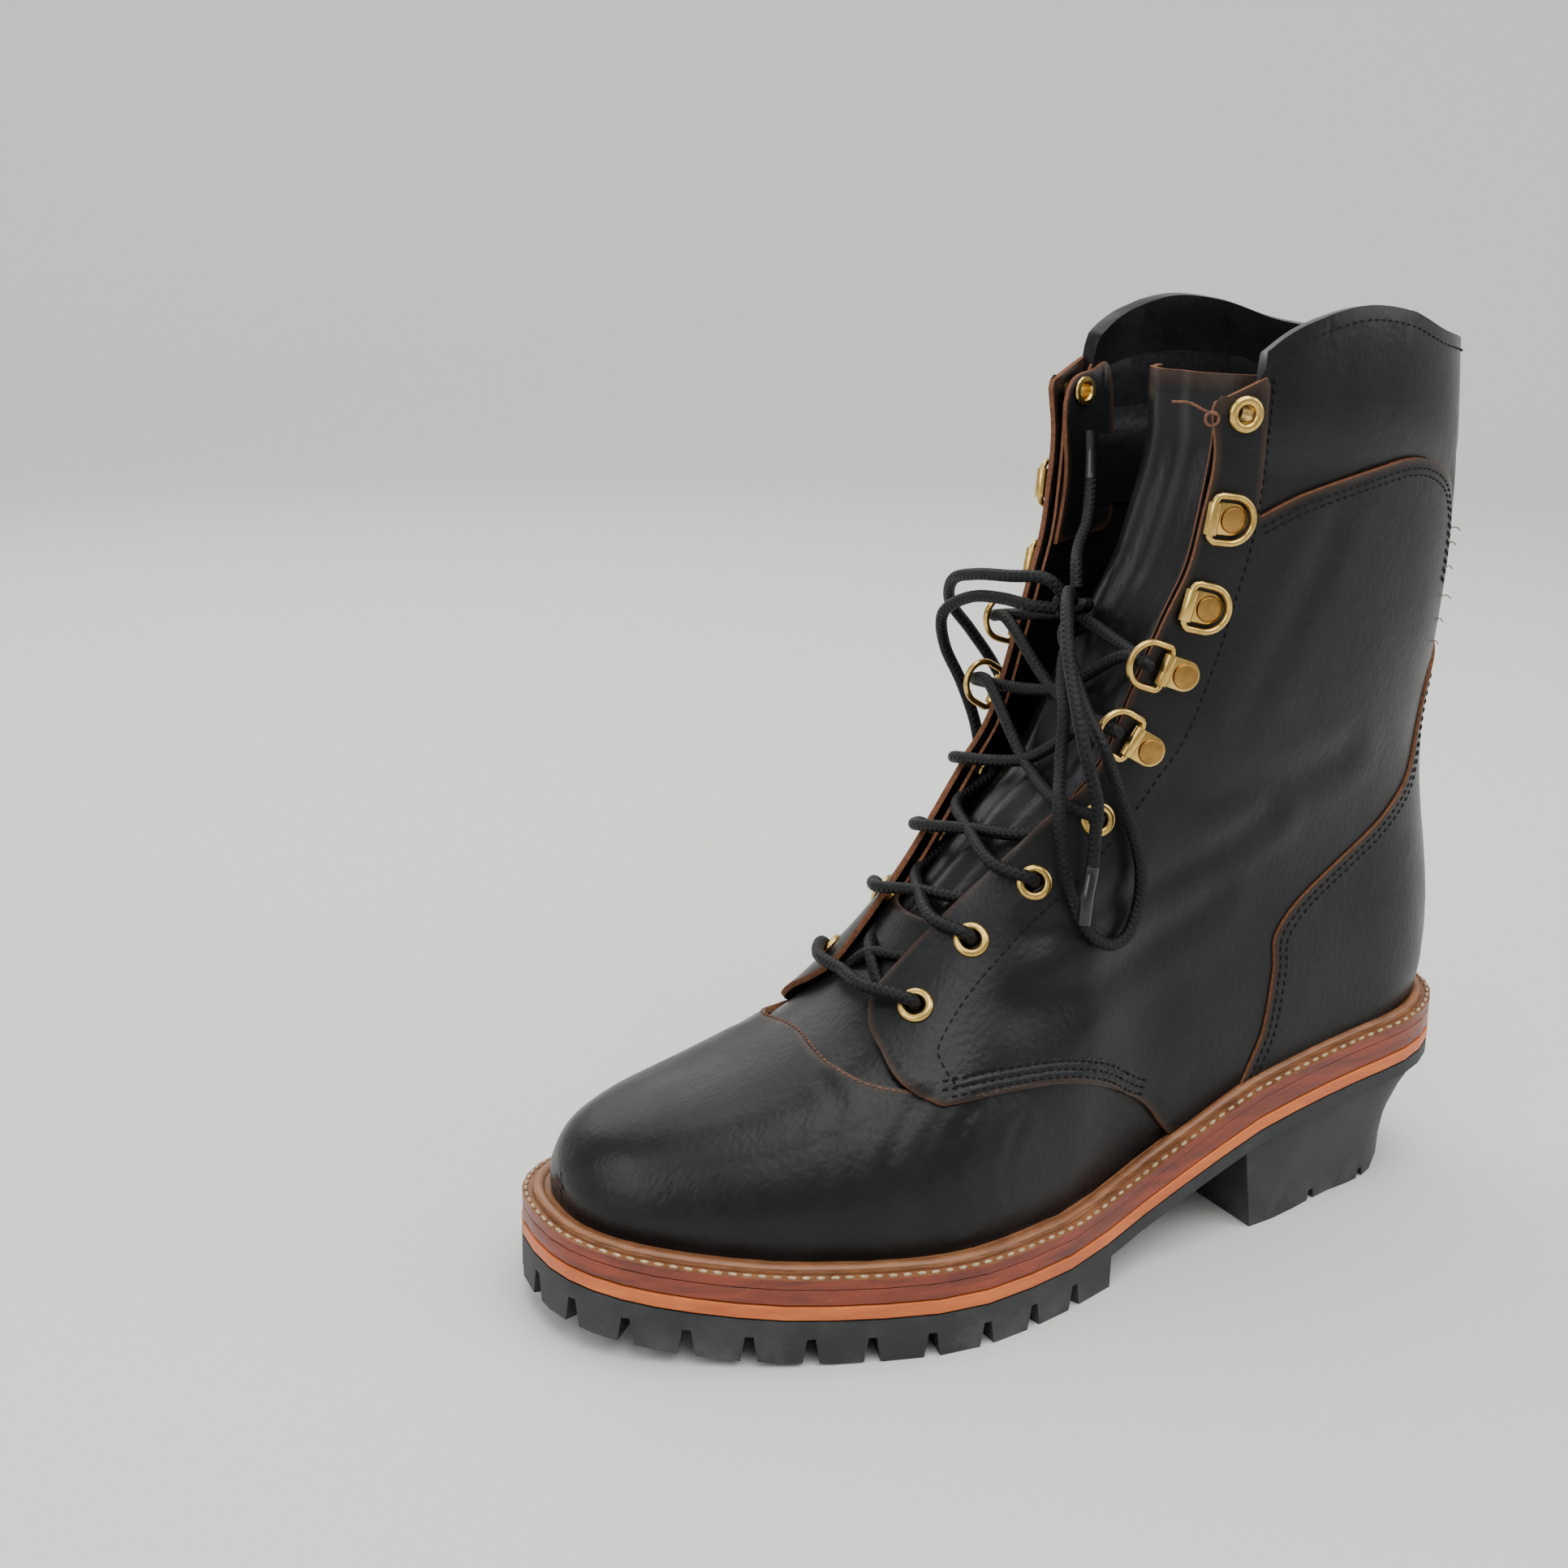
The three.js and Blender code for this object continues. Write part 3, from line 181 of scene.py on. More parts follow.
def weltTop(x):
    share = smoothStep(0.3, 0.55, x / boot["soleLength"])
    upperMidsole = boot["heelMidsole"] + (boot["upperMidsole"] - boot["heelMidsole"]) * share
    return rubberTop(x) + boot["lowerMidsole"] + upperMidsole + boot["welt"] + 3 * boot["gap"]


def featherZ(x):
    step = boot["featherStep"]
    bend = weltTop(x) - (weltTop(x - step) + weltTop(x + step)) / 2
    return weltTop(x) + 2 * boot["gap"] + np.maximum(0, bend)


def soleEdge(x, side):
    at = np.clip(x / boot["soleLength"], 0, 1)
    half = soleHalf(at) * roundEnd(at / heelRound[0], heelRound[1]) * roundEnd((1 - at) / toeRound[0], toeRound[1])
    return boot["ballWidth"] * (soleMiddle(at) + side * half)


def ringX(share):
    return boot["weltReach"] + share * lastLength


def middlePoint(at, s):
    startX, endX = ringX(ring["back"](at)), ringX(ring["front"](at))
    x = startX + (endX - startX) * s
    heelZ, toeZ = featherZ(ringX(0.0)), featherZ(ringX(1.0))
    startZ = heelZ + boot["upperHeight"] * ring["backRise"](at)
    endZ = toeZ + boot["upperHeight"] * ring["frontRise"](at)
    sag = featherZ(x) - (heelZ + (toeZ - heelZ) * (x - ringX(0.0)) / lastLength)
    return x, startZ + (endZ - startZ) * s + sag * (1 - smoothStep(*settle, at))


ridgeX, ridgeHeight = middlePoint(np.linspace(0, 1, 400), 1.0)
ridgeOrder = np.argsort(ridgeX)


def ringHalf(at, s):
    x, z = middlePoint(at, s)
    fromHeel = (x - ringX(ring["back"](at))) / boot["soleLength"]
    flat = boot["ballWidth"] * soleHalf(np.clip(x / boot["soleLength"], 0, 1)) - boot["weltReach"]
    toToe = (ringX(np.maximum(1, ring["front"](at))) - x) / boot["soleLength"]
    ends = roundEnd(fromHeel / heelRound[0], heelRound[1]) * roundEnd(toToe / toeRound[0], toeRound[1])
    low = featherZ(x)
    ridge = np.interp(x, ridgeX[ridgeOrder], ridgeHeight[ridgeOrder])
    height = np.clip((z - low) / np.maximum(1, ridge - low), 0, 1)
    power = toePower["least"] + toePower["more"] * smoothStep(toePower["from"], toePower["to"], x)
    across = (1 - height**power) ** (1 / power)
    swell = 1 + sideSwell["share"] * np.sin(math.pi * np.clip(height / sideSwell["end"], 0, 1))
    oval = np.maximum(0, 1 - np.abs(2 * s - 1) ** shaftPower) ** (1 / shaftPower)
    foot = flat * ends * across * swell
    shaft = boot["shaftWidth"] / 2 * ring["width"](at) * oval
    return foot + (shaft - foot) * ring["shaft"](at)


# A turn goes round the last from its front (0) over the outer side to its back (pi) and on.
def surfacePoint(at, turn):
    s = (1 + np.cos(turn)) / 2
    x, z = middlePoint(at, s)
    middle = boot["ballWidth"] * soleMiddle(np.clip(x / boot["soleLength"], 0, 1))
    middle = middle * (1 - smoothStep(*settle, at))
    side = np.where(np.sin(turn) >= 0, 1, -1)
    return np.stack([x, middle + side * ringHalf(at, s), z], -1)


def unit(vectors):
    return vectors / np.maximum(1e-9, np.linalg.norm(vectors, axis=-1, keepdims=True))


def slopes(at, turn):
    low, high = np.maximum(0, at - slopeStep["up"]), np.minimum(1, at + slopeStep["up"])
    up = (surfacePoint(high, turn) - surfacePoint(low, turn)) / (high - low)[..., None]
    sharp = (at < slopeStep["below"]) & (np.abs(np.sin(turn / 2)) < slopeStep["within"])
    reach = np.where(sharp, slopeStep["toe"], slopeStep["around"])
    around = (surfacePoint(at, turn + reach) - surfacePoint(at, turn - reach)) / (2 * reach[..., None])
    return up, around


def surfaceNormal(at, turn):
    up, around = slopes(at, turn)
    return unit(np.cross(around, up))


def onLast(rows, height=0.0):
    rows = np.atleast_2d(np.asarray(rows, float))
    at, turn = rows[:, 0], rows[:, 1]
    height = np.broadcast_to(height, at.shape)
    points = surfacePoint(at, turn) + surfaceNormal(at, turn) * height[:, None]
    points[:, 2] = np.where(at <= 0, featherZ(points[:, 0]), points[:, 2])
    return points


def turned(rows, side=1):
    return np.array([(at, side * math.acos(2 * along - 1)) for at, along in rows])


def overBack(rows, side):
    line = turned(rows, 1)
    return line if side > 0 else np.stack([line[:, 0], 2 * math.pi - line[:, 1]], -1)


# Moves points of the last by vectors along its surface.
def slide(rows, vectors):
    up, around = slopes(rows[:, 0], rows[:, 1])
    moved = rows.astype(float).copy()
    for i in range(len(rows)):
        basis = np.stack([up[i], around[i]], 1)
        moved[i] += np.linalg.lstsq(basis, vectors[i], rcond=None)[0]
    moved[:, 0] = np.clip(moved[:, 0], 0, 1)
    return moved


# Millimetres to a ring and to a turn, for laying panels out flat.
flatScale = np.array([260.0, 75.0])


# A smooth curve through given points, with a point every step or so.
def smoothLine(points, step, scale=1.0):
    points = np.asarray(points, float)
    knots = np.vstack([2 * points[0] - points[1], points, 2 * points[-1] - points[-2]])
    line = [points[0]]
    for i in range(1, len(knots) - 2):
        p0, p1, p2, p3 = knots[i - 1 : i + 3]
        gaps = [max(1e-6, np.linalg.norm((b - a) * scale)) ** 0.5 for a, b in ((p0, p1), (p1, p2), (p2, p3))]
        t0, t1 = 0.0, gaps[0]
        t2, t3 = t1 + gaps[1], t1 + gaps[1] + gaps[2]
        count = max(2, int(math.ceil(np.linalg.norm((p2 - p1) * scale) / step)))
        for t in np.linspace(t1, t2, count + 1)[1:]:
            a1 = (t1 - t) / (t1 - t0) * p0 + (t - t0) / (t1 - t0) * p1
            a2 = (t2 - t) / (t2 - t1) * p1 + (t - t1) / (t2 - t1) * p2
            a3 = (t3 - t) / (t3 - t2) * p2 + (t - t2) / (t3 - t2) * p3
            b1 = (t2 - t) / (t2 - t0) * a1 + (t - t0) / (t2 - t0) * a2
            b2 = (t3 - t) / (t3 - t1) * a2 + (t - t1) / (t3 - t1) * a3
            line.append((t2 - t) / (t2 - t1) * b1 + (t - t1) / (t2 - t1) * b2)
    return np.array(line)


def lengthsAlong(line):
    return np.concatenate([[0], np.cumsum(np.linalg.norm(np.diff(line, axis=0), axis=1))])


# Even points along a line.
def evenly(line, step):
    lengths = lengthsAlong(line)
    count = max(2, int(round(lengths[-1] / step)))
    marks = np.linspace(0, lengths[-1], count + 1)
    return np.stack([np.interp(marks, lengths, line[:, k]) for k in range(line.shape[1])], -1)


outlineStep = 2.0


def closedOutline(parts):
    line = np.vstack([smoothLine(part, outlineStep, flatScale) if len(part) > 2 else part for part in parts])
    line = np.vstack([line, line[:1]]) * flatScale
    keep = np.concatenate([[True], np.linalg.norm(np.diff(line, axis=0), axis=1) > 1e-6])
    return evenly(line[keep], outlineStep)[:-1] / flatScale


def insideOf(points, loop):
    x, y = points[:, 0], points[:, 1]
    inside = np.zeros(len(points), bool)
    for (x1, y1), (x2, y2) in zip(loop, np.roll(loop, -1, 0)):
        if y1 == y2:
            continue
        crosses = (y1 > y) != (y2 > y)
        inside ^= crosses & (x < (x2 - x1) * (y - y1) / (y2 - y1) + x1)
    return inside


def nearest(points, targets):
    chunk = 4000
    return np.concatenate([
        np.sqrt(((points[i : i + chunk, None, :] - targets[None]) ** 2).sum(-1).min(1))
        for i in range(0, len(points), chunk)
    ])


def toFrame(points):
    return (np.asarray(points, float) - [boot["heelRestX"], 0, 0]) * millimetre


def linked(name, data):
    holder = bpy.data.objects.new(name, data)
    bpy.context.scene.collection.objects.link(holder)
    return holder


def meshFrom(name, build, sharpAngle=None):
    mesh = bpy.data.meshes.new(name)
    build.to_mesh(mesh)
    build.free()
    mesh.shade_smooth()
    if sharpAngle:
        mesh.set_sharp_from_angle(angle=math.radians(sharpAngle))
    return mesh


def finishObject(name, mesh, materials, body="boot", replaces=()):
    piece = linked(name, mesh)
    for material in materials:
        mesh.materials.append(material)
    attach(piece, body)
    if replaces:
        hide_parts(*replaces)
    return piece


def walled(piece, thickness, offset, rim):
    wall = piece.modifiers.new("wall", "SOLIDIFY")
    wall.thickness, wall.offset, wall.material_offset_rim = thickness * millimetre, offset, rim


def rounded(piece, width, segments, angle):
    soft = piece.modifiers.new("soft", "BEVEL")
    soft.width, soft.segments = width * millimetre, segments
    soft.limit_method, soft.angle_limit = "ANGLE", math.radians(angle)


def applyModifiers(piece):
    mesh = bpy.data.meshes.new_from_object(piece.evaluated_get(bpy.context.evaluated_depsgraph_get()))
    piece.modifiers.clear()
    piece.data = mesh
    mesh.shade_smooth()
    mesh.set_sharp_from_angle(angle=math.radians(50))


# How far a point of a sheet lies in from its cut edge, for the wear of the leather there.
def addEdge(mesh, distances):
    layer = mesh.attributes.new("edge", "FLOAT", "POINT")
    layer.data.foreach_set("value", np.minimum(20, distances).astype(np.float32))


# A leather panel on the last: an outline in rings and turns, filled with small triangles, given its thickness.
def panel(
    name, outline, height, thickness, materials, spacing=2.4, relief=None, holes=(), round=0.4, rounds=2, replaces=()
):
    loop = outline * flatScale
    lows, highs = loop.min(0), loop.max(0)
    columns = np.arange(lows[0] + spacing / 2, highs[0], spacing * 0.866)
    grid = [
        (x, y)
        for i, x in enumerate(columns)
        for y in np.arange(lows[1] + spacing * (0.25 + 0.5 * (i % 2)), highs[1], spacing)
    ]
    grid = np.array(grid)
    grid = grid[insideOf(grid, loop)]
    grid = grid[nearest(grid, loop) > spacing * 0.45]
    loops = [loop]
    for centre in holes:
        up, across = (unit(slope) for slope in slopes(*centre))
        turns = np.linspace(0, 2 * math.pi, 20)[:-1, None]
        hole = slide(np.repeat([centre], len(turns), 0), (np.cos(turns) * up + np.sin(turns) * across) * holeRadius)
        hole = hole * flatScale
        grid = grid[~insideOf(grid, hole)]
        grid = grid[nearest(grid, hole) > spacing * 0.4]
        loops.append(hole)
    edges, count = [], 0
    for line in loops:
        edges += [(count + i, count + (i + 1) % len(line)) for i in range(len(line))]
        count += len(line)
    flat = np.vstack([*loops, grid])
    made = geometry.delaunay_2d_cdt([Vector(p) for p in flat], edges, [], 1, 1e-4, False)
    flat, faces = np.array([tuple(p) for p in made[0]]), np.array(made[2])
    middles = flat[faces].mean(1)
    keep = insideOf(middles, loop)
    for hole in loops[1:]:
        keep &= ~insideOf(middles, hole)
    faces = faces[keep]
    rows = flat / flatScale
    points = onLast(rows, height)
    if relief is not None:
        points += surfaceNormal(rows[:, 0], rows[:, 1]) * relief(rows, points)[:, None]
    corner = points[faces]
    facing = np.cross(corner[:, 1] - corner[:, 0], corner[:, 2] - corner[:, 0])
    outward = surfaceNormal(rows[faces[:, 0], 0], rows[faces[:, 0], 1])
    faces[(facing * outward).sum(1) < 0] = faces[(facing * outward).sum(1) < 0][:, ::-1]
    mesh = bpy.data.meshes.new(name)
    mesh.from_pydata(toFrame(points).tolist(), [], faces.tolist())
    addEdge(mesh, nearest(points, onLast(outline, height)))
    used = bmesh.new()
    used.from_mesh(mesh)
    bmesh.ops.delete(used, geom=[v for v in used.verts if not v.link_faces], context="VERTS")
    used.to_mesh(mesh)
    used.free()
    piece = finishObject(name, mesh, materials, replaces=replaces)
    walled(piece, thickness, 1, len(materials) - 1)
    rounded(piece, round, rounds, 55)
    applyModifiers(piece)


# Stitches lie along rows of points and normals as short, slightly sunk lengths of thread.
def stitches(name, rows, material, length, pitch, radius):
    seed = bmesh.new()
    bmesh.ops.create_icosphere(seed, subdivisions=1, radius=1)
    ball = meshFrom(name + "Seed", seed)
    ballPoints = np.array([v.co[:] for v in ball.vertices])
    ballFaces = np.array([p.vertices[:] for p in ball.polygons])
    allPoints, allFaces = [], []
    for line, normal in rows:
        lengths = lengthsAlong(line)
        for mark in np.arange(pitch / 2, lengths[-1] - length / 2, pitch):
            ends = [
                np.array([np.interp(mark + reach, lengths, line[:, k]) for k in range(3)])
                for reach in (-length / 2, length / 2)
            ]
            along = unit(ends[1] - ends[0])
            up = unit(np.array([np.interp(mark, lengths, normal[:, k]) for k in range(3)]))
            across = unit(np.cross(up, along))
            shape = ballPoints @ np.stack([along * length * 0.5, across * radius, up * radius])
            allFaces.append(ballFaces + len(allPoints) * len(ballPoints))
            allPoints.append((ends[0] + ends[1]) / 2 + shape)
    mesh = bpy.data.meshes.new(name)
    mesh.from_pydata(toFrame(np.vstack(allPoints)).tolist(), [], np.vstack(allFaces).tolist())
    mesh.shade_smooth()
    finishObject(name, mesh, [material])


# A row on the last, some way in from a line.
def rowsBeside(line, inwards):
    rows = evenly(np.asarray(line) * flatScale, outlineStep) / flatScale
    along = unit(np.gradient(onLast(rows), axis=0))
    return slide(rows, np.cross(surfaceNormal(rows[:, 0], rows[:, 1]), along) * inwards)


def rowOn(line, inwards, height):
    rows = rowsBeside(line, inwards)
    return onLast(rows, height), surfaceNormal(rows[:, 0], rows[:, 1])


# A round cord along a line in the boot's frame, in millimetres, with a UV map along it.
def ropeMesh(name, line, radius, sides=12, closed=False):
    line = np.asarray(line, float)
    along = unit(np.gradient(line, axis=0))
    if closed:
        along = unit(np.roll(line, -1, 0) - np.roll(line, 1, 0))
    side = unit(np.cross(along[0], [0.31, 0.2, 0.93]))
    frames = []
    for direction in along:
        side = unit(side - direction * side.dot(direction))
        frames.append((side, np.cross(direction, side)))
    build = bmesh.new()
    uv = build.loops.layers.uv.new("rope")
    turns = np.linspace(0, 2 * math.pi, sides + 1)[:-1]
    loops = [
        [build.verts.new(toFrame(centre + radius * (a * math.cos(t) + b * math.sin(t)))) for t in turns]
        for centre, (a, b) in zip(line, frames)
    ]
    lengths = lengthsAlong(line)
    for i in range(len(line) - (0 if closed else 1)):
        j = (i + 1) % len(line)
        for k in range(sides):
            m = (k + 1) % sides
            face = build.faces.new([loops[i][k], loops[i][m], loops[j][m], loops[j][k]])
            for corner, (across, step) in zip(face.loops, [(k, i), (k + 1, i), (k + 1, i + 1), (k, i + 1)]):
                distance = lengths[step] if step < len(line) else lengths[-1] + 1
                corner[uv].uv = (across / sides, distance / (2 * math.pi * radius))
    if not closed:
        build.faces.new(loops[0][::-1])
        build.faces.new(loops[-1])
    bmesh.ops.recalc_face_normals(build, faces=build.faces)
    return meshFrom(name, build, 60)


# Materials. A field is one socket, and sums on fields become Math nodes.
class Field:
    def __init__(self, finish, socket):
        self.finish, self.socket = finish, socket

    def maths(self, operation, *others):
        return self.finish.node("ShaderNodeMath", {"operation": operation}, dict(enumerate(others)))

    def __add__(self, other):
        return self.maths("ADD", self, other)

    def __mul__(self, other):
        return self.maths("MULTIPLY", self, other)


class Finish:
    def __init__(self, name, **settings):
        self.material = bpy.data.materials.new(name)
        self.material.use_nodes = True
        self.tree = self.material.node_tree
        self.shader = self.tree.nodes["Principled BSDF"]
        for socket, value in settings.items():
            self.shader.inputs[socket.replace("_", " ")].default_value = value
        self.place = self.node("ShaderNodeTexCoord", {}, {}, "Object")

    def node(self, kind, settings=None, values=None, output=0):
        made = self.tree.nodes.new(kind)
        for key, value in (settings or {}).items():
            if key == "stops":
                ramp = made.color_ramp
                while len(ramp.elements) < len(value):
                    ramp.elements.new(1)
                for element, (position, color) in zip(ramp.elements, value):
                    element.position, element.color = position, color
            else:
                setattr(made, key, value)
        for key, value in (values or {}).items():
            if isinstance(value, Field):
                self.tree.links.new(value.socket, made.inputs[key])
            else:
                made.inputs[key].default_value = value
        return Field(self, made.outputs[output])

    def noise(self, scale, detail, roughness, place=None):
        values = {"Vector": place or self.place, "Scale": scale, "Detail": detail, "Roughness": roughness}
        return self.node("ShaderNodeTexNoise", {}, values)

    def stretched(self, scale, place=None):
        return self.node("ShaderNodeMapping", {}, {"Vector": place or self.place, "Scale": scale})

    def cells(self, scale, place=None, feature="F1"):
        values = {"Vector": place or self.place, "Scale": scale}
        return self.node("ShaderNodeTexVoronoi", {"feature": feature}, values, "Distance")

    def ramp(self, field, low, high, start=0.0, end=1.0):
        values = {"Value": field, "From Min": low, "From Max": high, "To Min": start, "To Max": end}
        return self.node("ShaderNodeMapRange", {"clamp": True}, values)

    def colours(self, factor, first, second):
        values = {"Factor": factor, 6: first, 7: second}
        return self.node("ShaderNodeMix", {"data_type": "RGBA"}, values, 2)

    def attribute(self, name):
        return self.node("ShaderNodeAttribute", {"attribute_name": name}, {}, "Fac")

    def bump(self, height, strength, distance, below=None):
        values = {"Height": height, "Strength": strength, "Distance": distance}
        if below is not None:
            values["Normal"] = below
        return self.node("ShaderNodeBump", {}, values)

    def feed(self, **links):
        for socket, field in links.items():
            self.tree.links.new(field.socket, self.shader.inputs[socket.replace("_", " ")])
        return self.material


# Leather rubbed brown along its cut edges, with soft dents, wrinkles and pores.
def leatherFinish(name, dark, light, roughness, grain, pores, dents, rub=0.55):
    rubbed = (0.055, 0.03, 0.018, 1)
    finish = Finish(name, Specular_IOR_Level=0.25)
    wear = finish.ramp(finish.attribute("edge"), 0.2, 2.2, rub, 0)
    colour = finish.colours(finish.ramp(finish.noise(38, 4, 0.6), 0.35, 0.75), dark, light)
    colour = finish.colours(wear, colour, rubbed)
    wrinkles = finish.cells(pores * 0.36, finish.stretched((1, 1.6, 0.7)), "SMOOTH_F1")
    normal = finish.bump(finish.noise(75, 2, 0.5), dents, 0.0006)
    normal = finish.bump(wrinkles, grain, 0.0003, normal)
    normal = finish.bump(finish.cells(pores), grain * 0.6, 0.0001, normal)
    gloss = finish.ramp(finish.noise(60, 5, 0.65), 0.3, 0.75, roughness - 0.05, roughness + 0.08)
    return finish.feed(Base_Color=colour, Roughness=gloss, Normal=normal)


# Fibres of one scale for the raw edges, and of another for threads and board.
def fibreFinish(name, light, deep, roughness, shine, grain, span, bump):
    finish = Finish(name, Specular_IOR_Level=shine)
    fibres = finish.noise(*grain)
    colour = finish.colours(finish.ramp(fibres, *span), deep, light)
    gloss = finish.ramp(fibres, 0, 1, roughness, roughness + 0.2)
    return finish.feed(Base_Color=colour, Roughness=gloss, Normal=finish.bump(fibres, *bump))


def threadFinish(name, light, deep, roughness=0.6, shine=0.3):
    return fibreFinish(name, light, deep, roughness, shine, (700, 3, 0.6), (0.35, 0.65), (0.4, 0.0002))


# Each leather: its dark and light colour, roughness, grain, pores, dents and rubbing.
leather, collarLeather, liningLeather, tongueLeather = (leatherFinish(*values) for values in (
    ("oiledLeather", (0.0035, 0.0037, 0.0041, 1), (0.0085, 0.0088, 0.0094, 1), 0.34, 0.3, 1500, 0.25),
    ("softCollarLeather", (0.003, 0.0032, 0.0037, 1), (0.007, 0.0074, 0.0082, 1), 0.3, 0.2, 1700, 0.3, 0),
    ("liningLeather", (0.003, 0.003, 0.0034, 1), (0.006, 0.006, 0.0066, 1), 0.36, 0.3, 1300, 0.35, 0),
    ("tongueLeather", (0.0035, 0.0035, 0.0037, 1), (0.009, 0.009, 0.0092, 1), 0.33, 0.3, 1400, 0.35),
))
rawEdge = fibreFinish(
    "rawEdge", (0.22, 0.085, 0.04, 1), (0.07, 0.03, 0.017, 1), 0.75, 0.2, (900, 4, 0.7), (0.3, 0.7), (0.6, 0.0006)
)
blackThread = threadFinish("blackThread", (0.006, 0.006, 0.0065, 1), (0.002, 0.002, 0.002, 1), 0.5, 0.15)
brownThread = threadFinish("brownThread", (0.19, 0.08, 0.04, 1), (0.08, 0.035, 0.02, 1))
creamThread = threadFinish("creamThread", (0.52, 0.4, 0.25, 1), (0.3, 0.21, 0.12, 1), 0.55)


def weltFinish():
    finish = Finish("burnishedWelt", Specular_IOR_Level=0.5, Coat_Roughness=0.3)
    fibres = finish.noise(240, 5, 0.65, finish.stretched((0.35, 0.35, 2.2)))
    colour = finish.colours(finish.ramp(fibres, 0.3, 0.72), (0.12, 0.045, 0.017, 1), (0.3, 0.125, 0.05, 1))
    gloss = finish.ramp(fibres, 0.2, 0.8, 0.36, 0.55)
    return finish.feed(Base_Color=colour, Roughness=gloss, Normal=finish.bump(fibres, 0.25, 0.0003))


def stripFinish(name, light, deep, scratch, scratchShare, roughness):
    finish = Finish(name, Specular_IOR_Level=0.5)
    streaks = finish.stretched((0.5, 0.5, 3))
    blotches = finish.noise(70, 5, 0.7, streaks)
    scuffs = finish.noise(420, 4, 0.7, streaks)
    colour = finish.colours(finish.ramp(blotches, 0.35, 0.7), deep, light)
    colour = finish.colours(finish.ramp(scuffs, 0.62, 0.75, 0, scratchShare), colour, scratch)
    gloss = finish.ramp(scuffs, 0.3, 0.8, roughness - 0.08, roughness + 0.15)
    return finish.feed(Base_Color=colour, Roughness=gloss, Normal=finish.bump(blotches * 0.4 + scuffs, 0.3, 0.0004))


def rubberFinish():
    finish = Finish("soleRubber", Specular_IOR_Level=0.4)
    speckle = finish.noise(1400, 3, 0.7)
    dust = finish.noise(45, 5, 0.7)
    height = finish.node("ShaderNodeSeparateXYZ", {}, {"Vector": finish.place}, "Z")
    low = finish.ramp(height, 0.0, 0.01, 0.5, 0.12)
    colour = finish.colours(finish.ramp(dust, 0.35, 0.75), (0.014, 0.0155, 0.0165, 1), (0.026, 0.028, 0.029, 1))
    colour = finish.colours(low * finish.ramp(dust, 0.45, 0.7), colour, (0.12, 0.115, 0.105, 1))
    gloss = finish.ramp(dust, 0.2, 0.8, 0.52, 0.72)
    return finish.feed(Base_Color=colour, Roughness=gloss, Normal=finish.bump(speckle, 0.35, 0.0002))


def brassFinish(name, light, deep, roughness):
    finish = Finish(name, Metallic=1.0)
    tarnish = finish.noise(160, 5, 0.7)
    scratches = finish.noise(900, 3, 0.6)
    colour = finish.colours(finish.ramp(tarnish, 0.45, 0.75), light, deep)
    gloss = finish.ramp(tarnish, 0.3, 0.8, roughness, roughness + 0.25)
    return finish.feed(Base_Color=colour, Roughness=gloss, Normal=finish.bump(scratches, 0.12, 0.0001))


def laceFinish():
    finish = Finish("waxedLace", Specular_IOR_Level=0.22)
    weave = finish.node("ShaderNodeUVMap", {"uv_map": "rope"}, {})
    strands = []
    for scale in ((8, 12, 1), (-8, 12, 1)):
        values = {"Vector": finish.stretched(scale, weave), "Scale": 0.32, "Distortion": 0.0}
        strands.append(finish.node("ShaderNodeTexWave", {"bands_direction": "DIAGONAL"}, values, "Fac"))
    braid = strands[0].maths("MAXIMUM", *strands)
    fuzz = finish.noise(1500, 3, 0.7)
    wax = finish.noise(320, 5, 0.75)
    colour = finish.colours(braid, (0.0012, 0.0012, 0.0014, 1), (0.0042, 0.0043, 0.0048, 1))
    colour = finish.colours(finish.ramp(wax, 0.68, 0.76, 0, 0.5), colour, (0.14, 0.14, 0.145, 1))
    normal = finish.bump(braid, 0.6, 0.0004)
    normal = finish.bump(fuzz, 0.3, 0.0003, normal)
    return finish.feed(Base_Color=colour, Roughness=finish.ramp(wax, 0.3, 0.8, 0.42, 0.7), Normal=normal)


welt = weltFinish()
redMidsole, orangeStrip = (stripFinish(*values) for values in (
    ("redMidsole", (0.26, 0.04, 0.012, 1), (0.09, 0.016, 0.008, 1), (0.34, 0.14, 0.06, 1), 0.5, 0.36),
    ("orangeStrip", (0.62, 0.15, 0.026, 1), (0.42, 0.085, 0.018, 1), (0.25, 0.08, 0.03, 1), 0.35, 0.42),
))
soleRubber = rubberFinish()
brass = brassFinish("brass", (0.66, 0.44, 0.13, 1), (0.3, 0.17, 0.045, 1), 0.15)
agedBrass = brassFinish("agedBrass", (0.4, 0.22, 0.06, 1), (0.17, 0.09, 0.03, 1), 0.3)
waxedLace = laceFinish()
aglet = Finish("agletFilm", Base_Color=(0.008, 0.008, 0.009, 1), Roughness=0.16)
agletFilm = aglet.feed(Normal=aglet.bump(aglet.noise(400, 2, 0.5), 0.15, 0.0002))
insoleFinish = threadFinish("insoleBoard", (0.3, 0.19, 0.1, 1), (0.16, 0.1, 0.055, 1), 0.7)
print("materials made")

# Camera at the photograph's place, and the studio.
camera = {"place": (443.51, 473.912, 308.102), "yaw": 0.489442, "pitch": 0.278008, "roll": 0.0174367, "lens": 45.4}


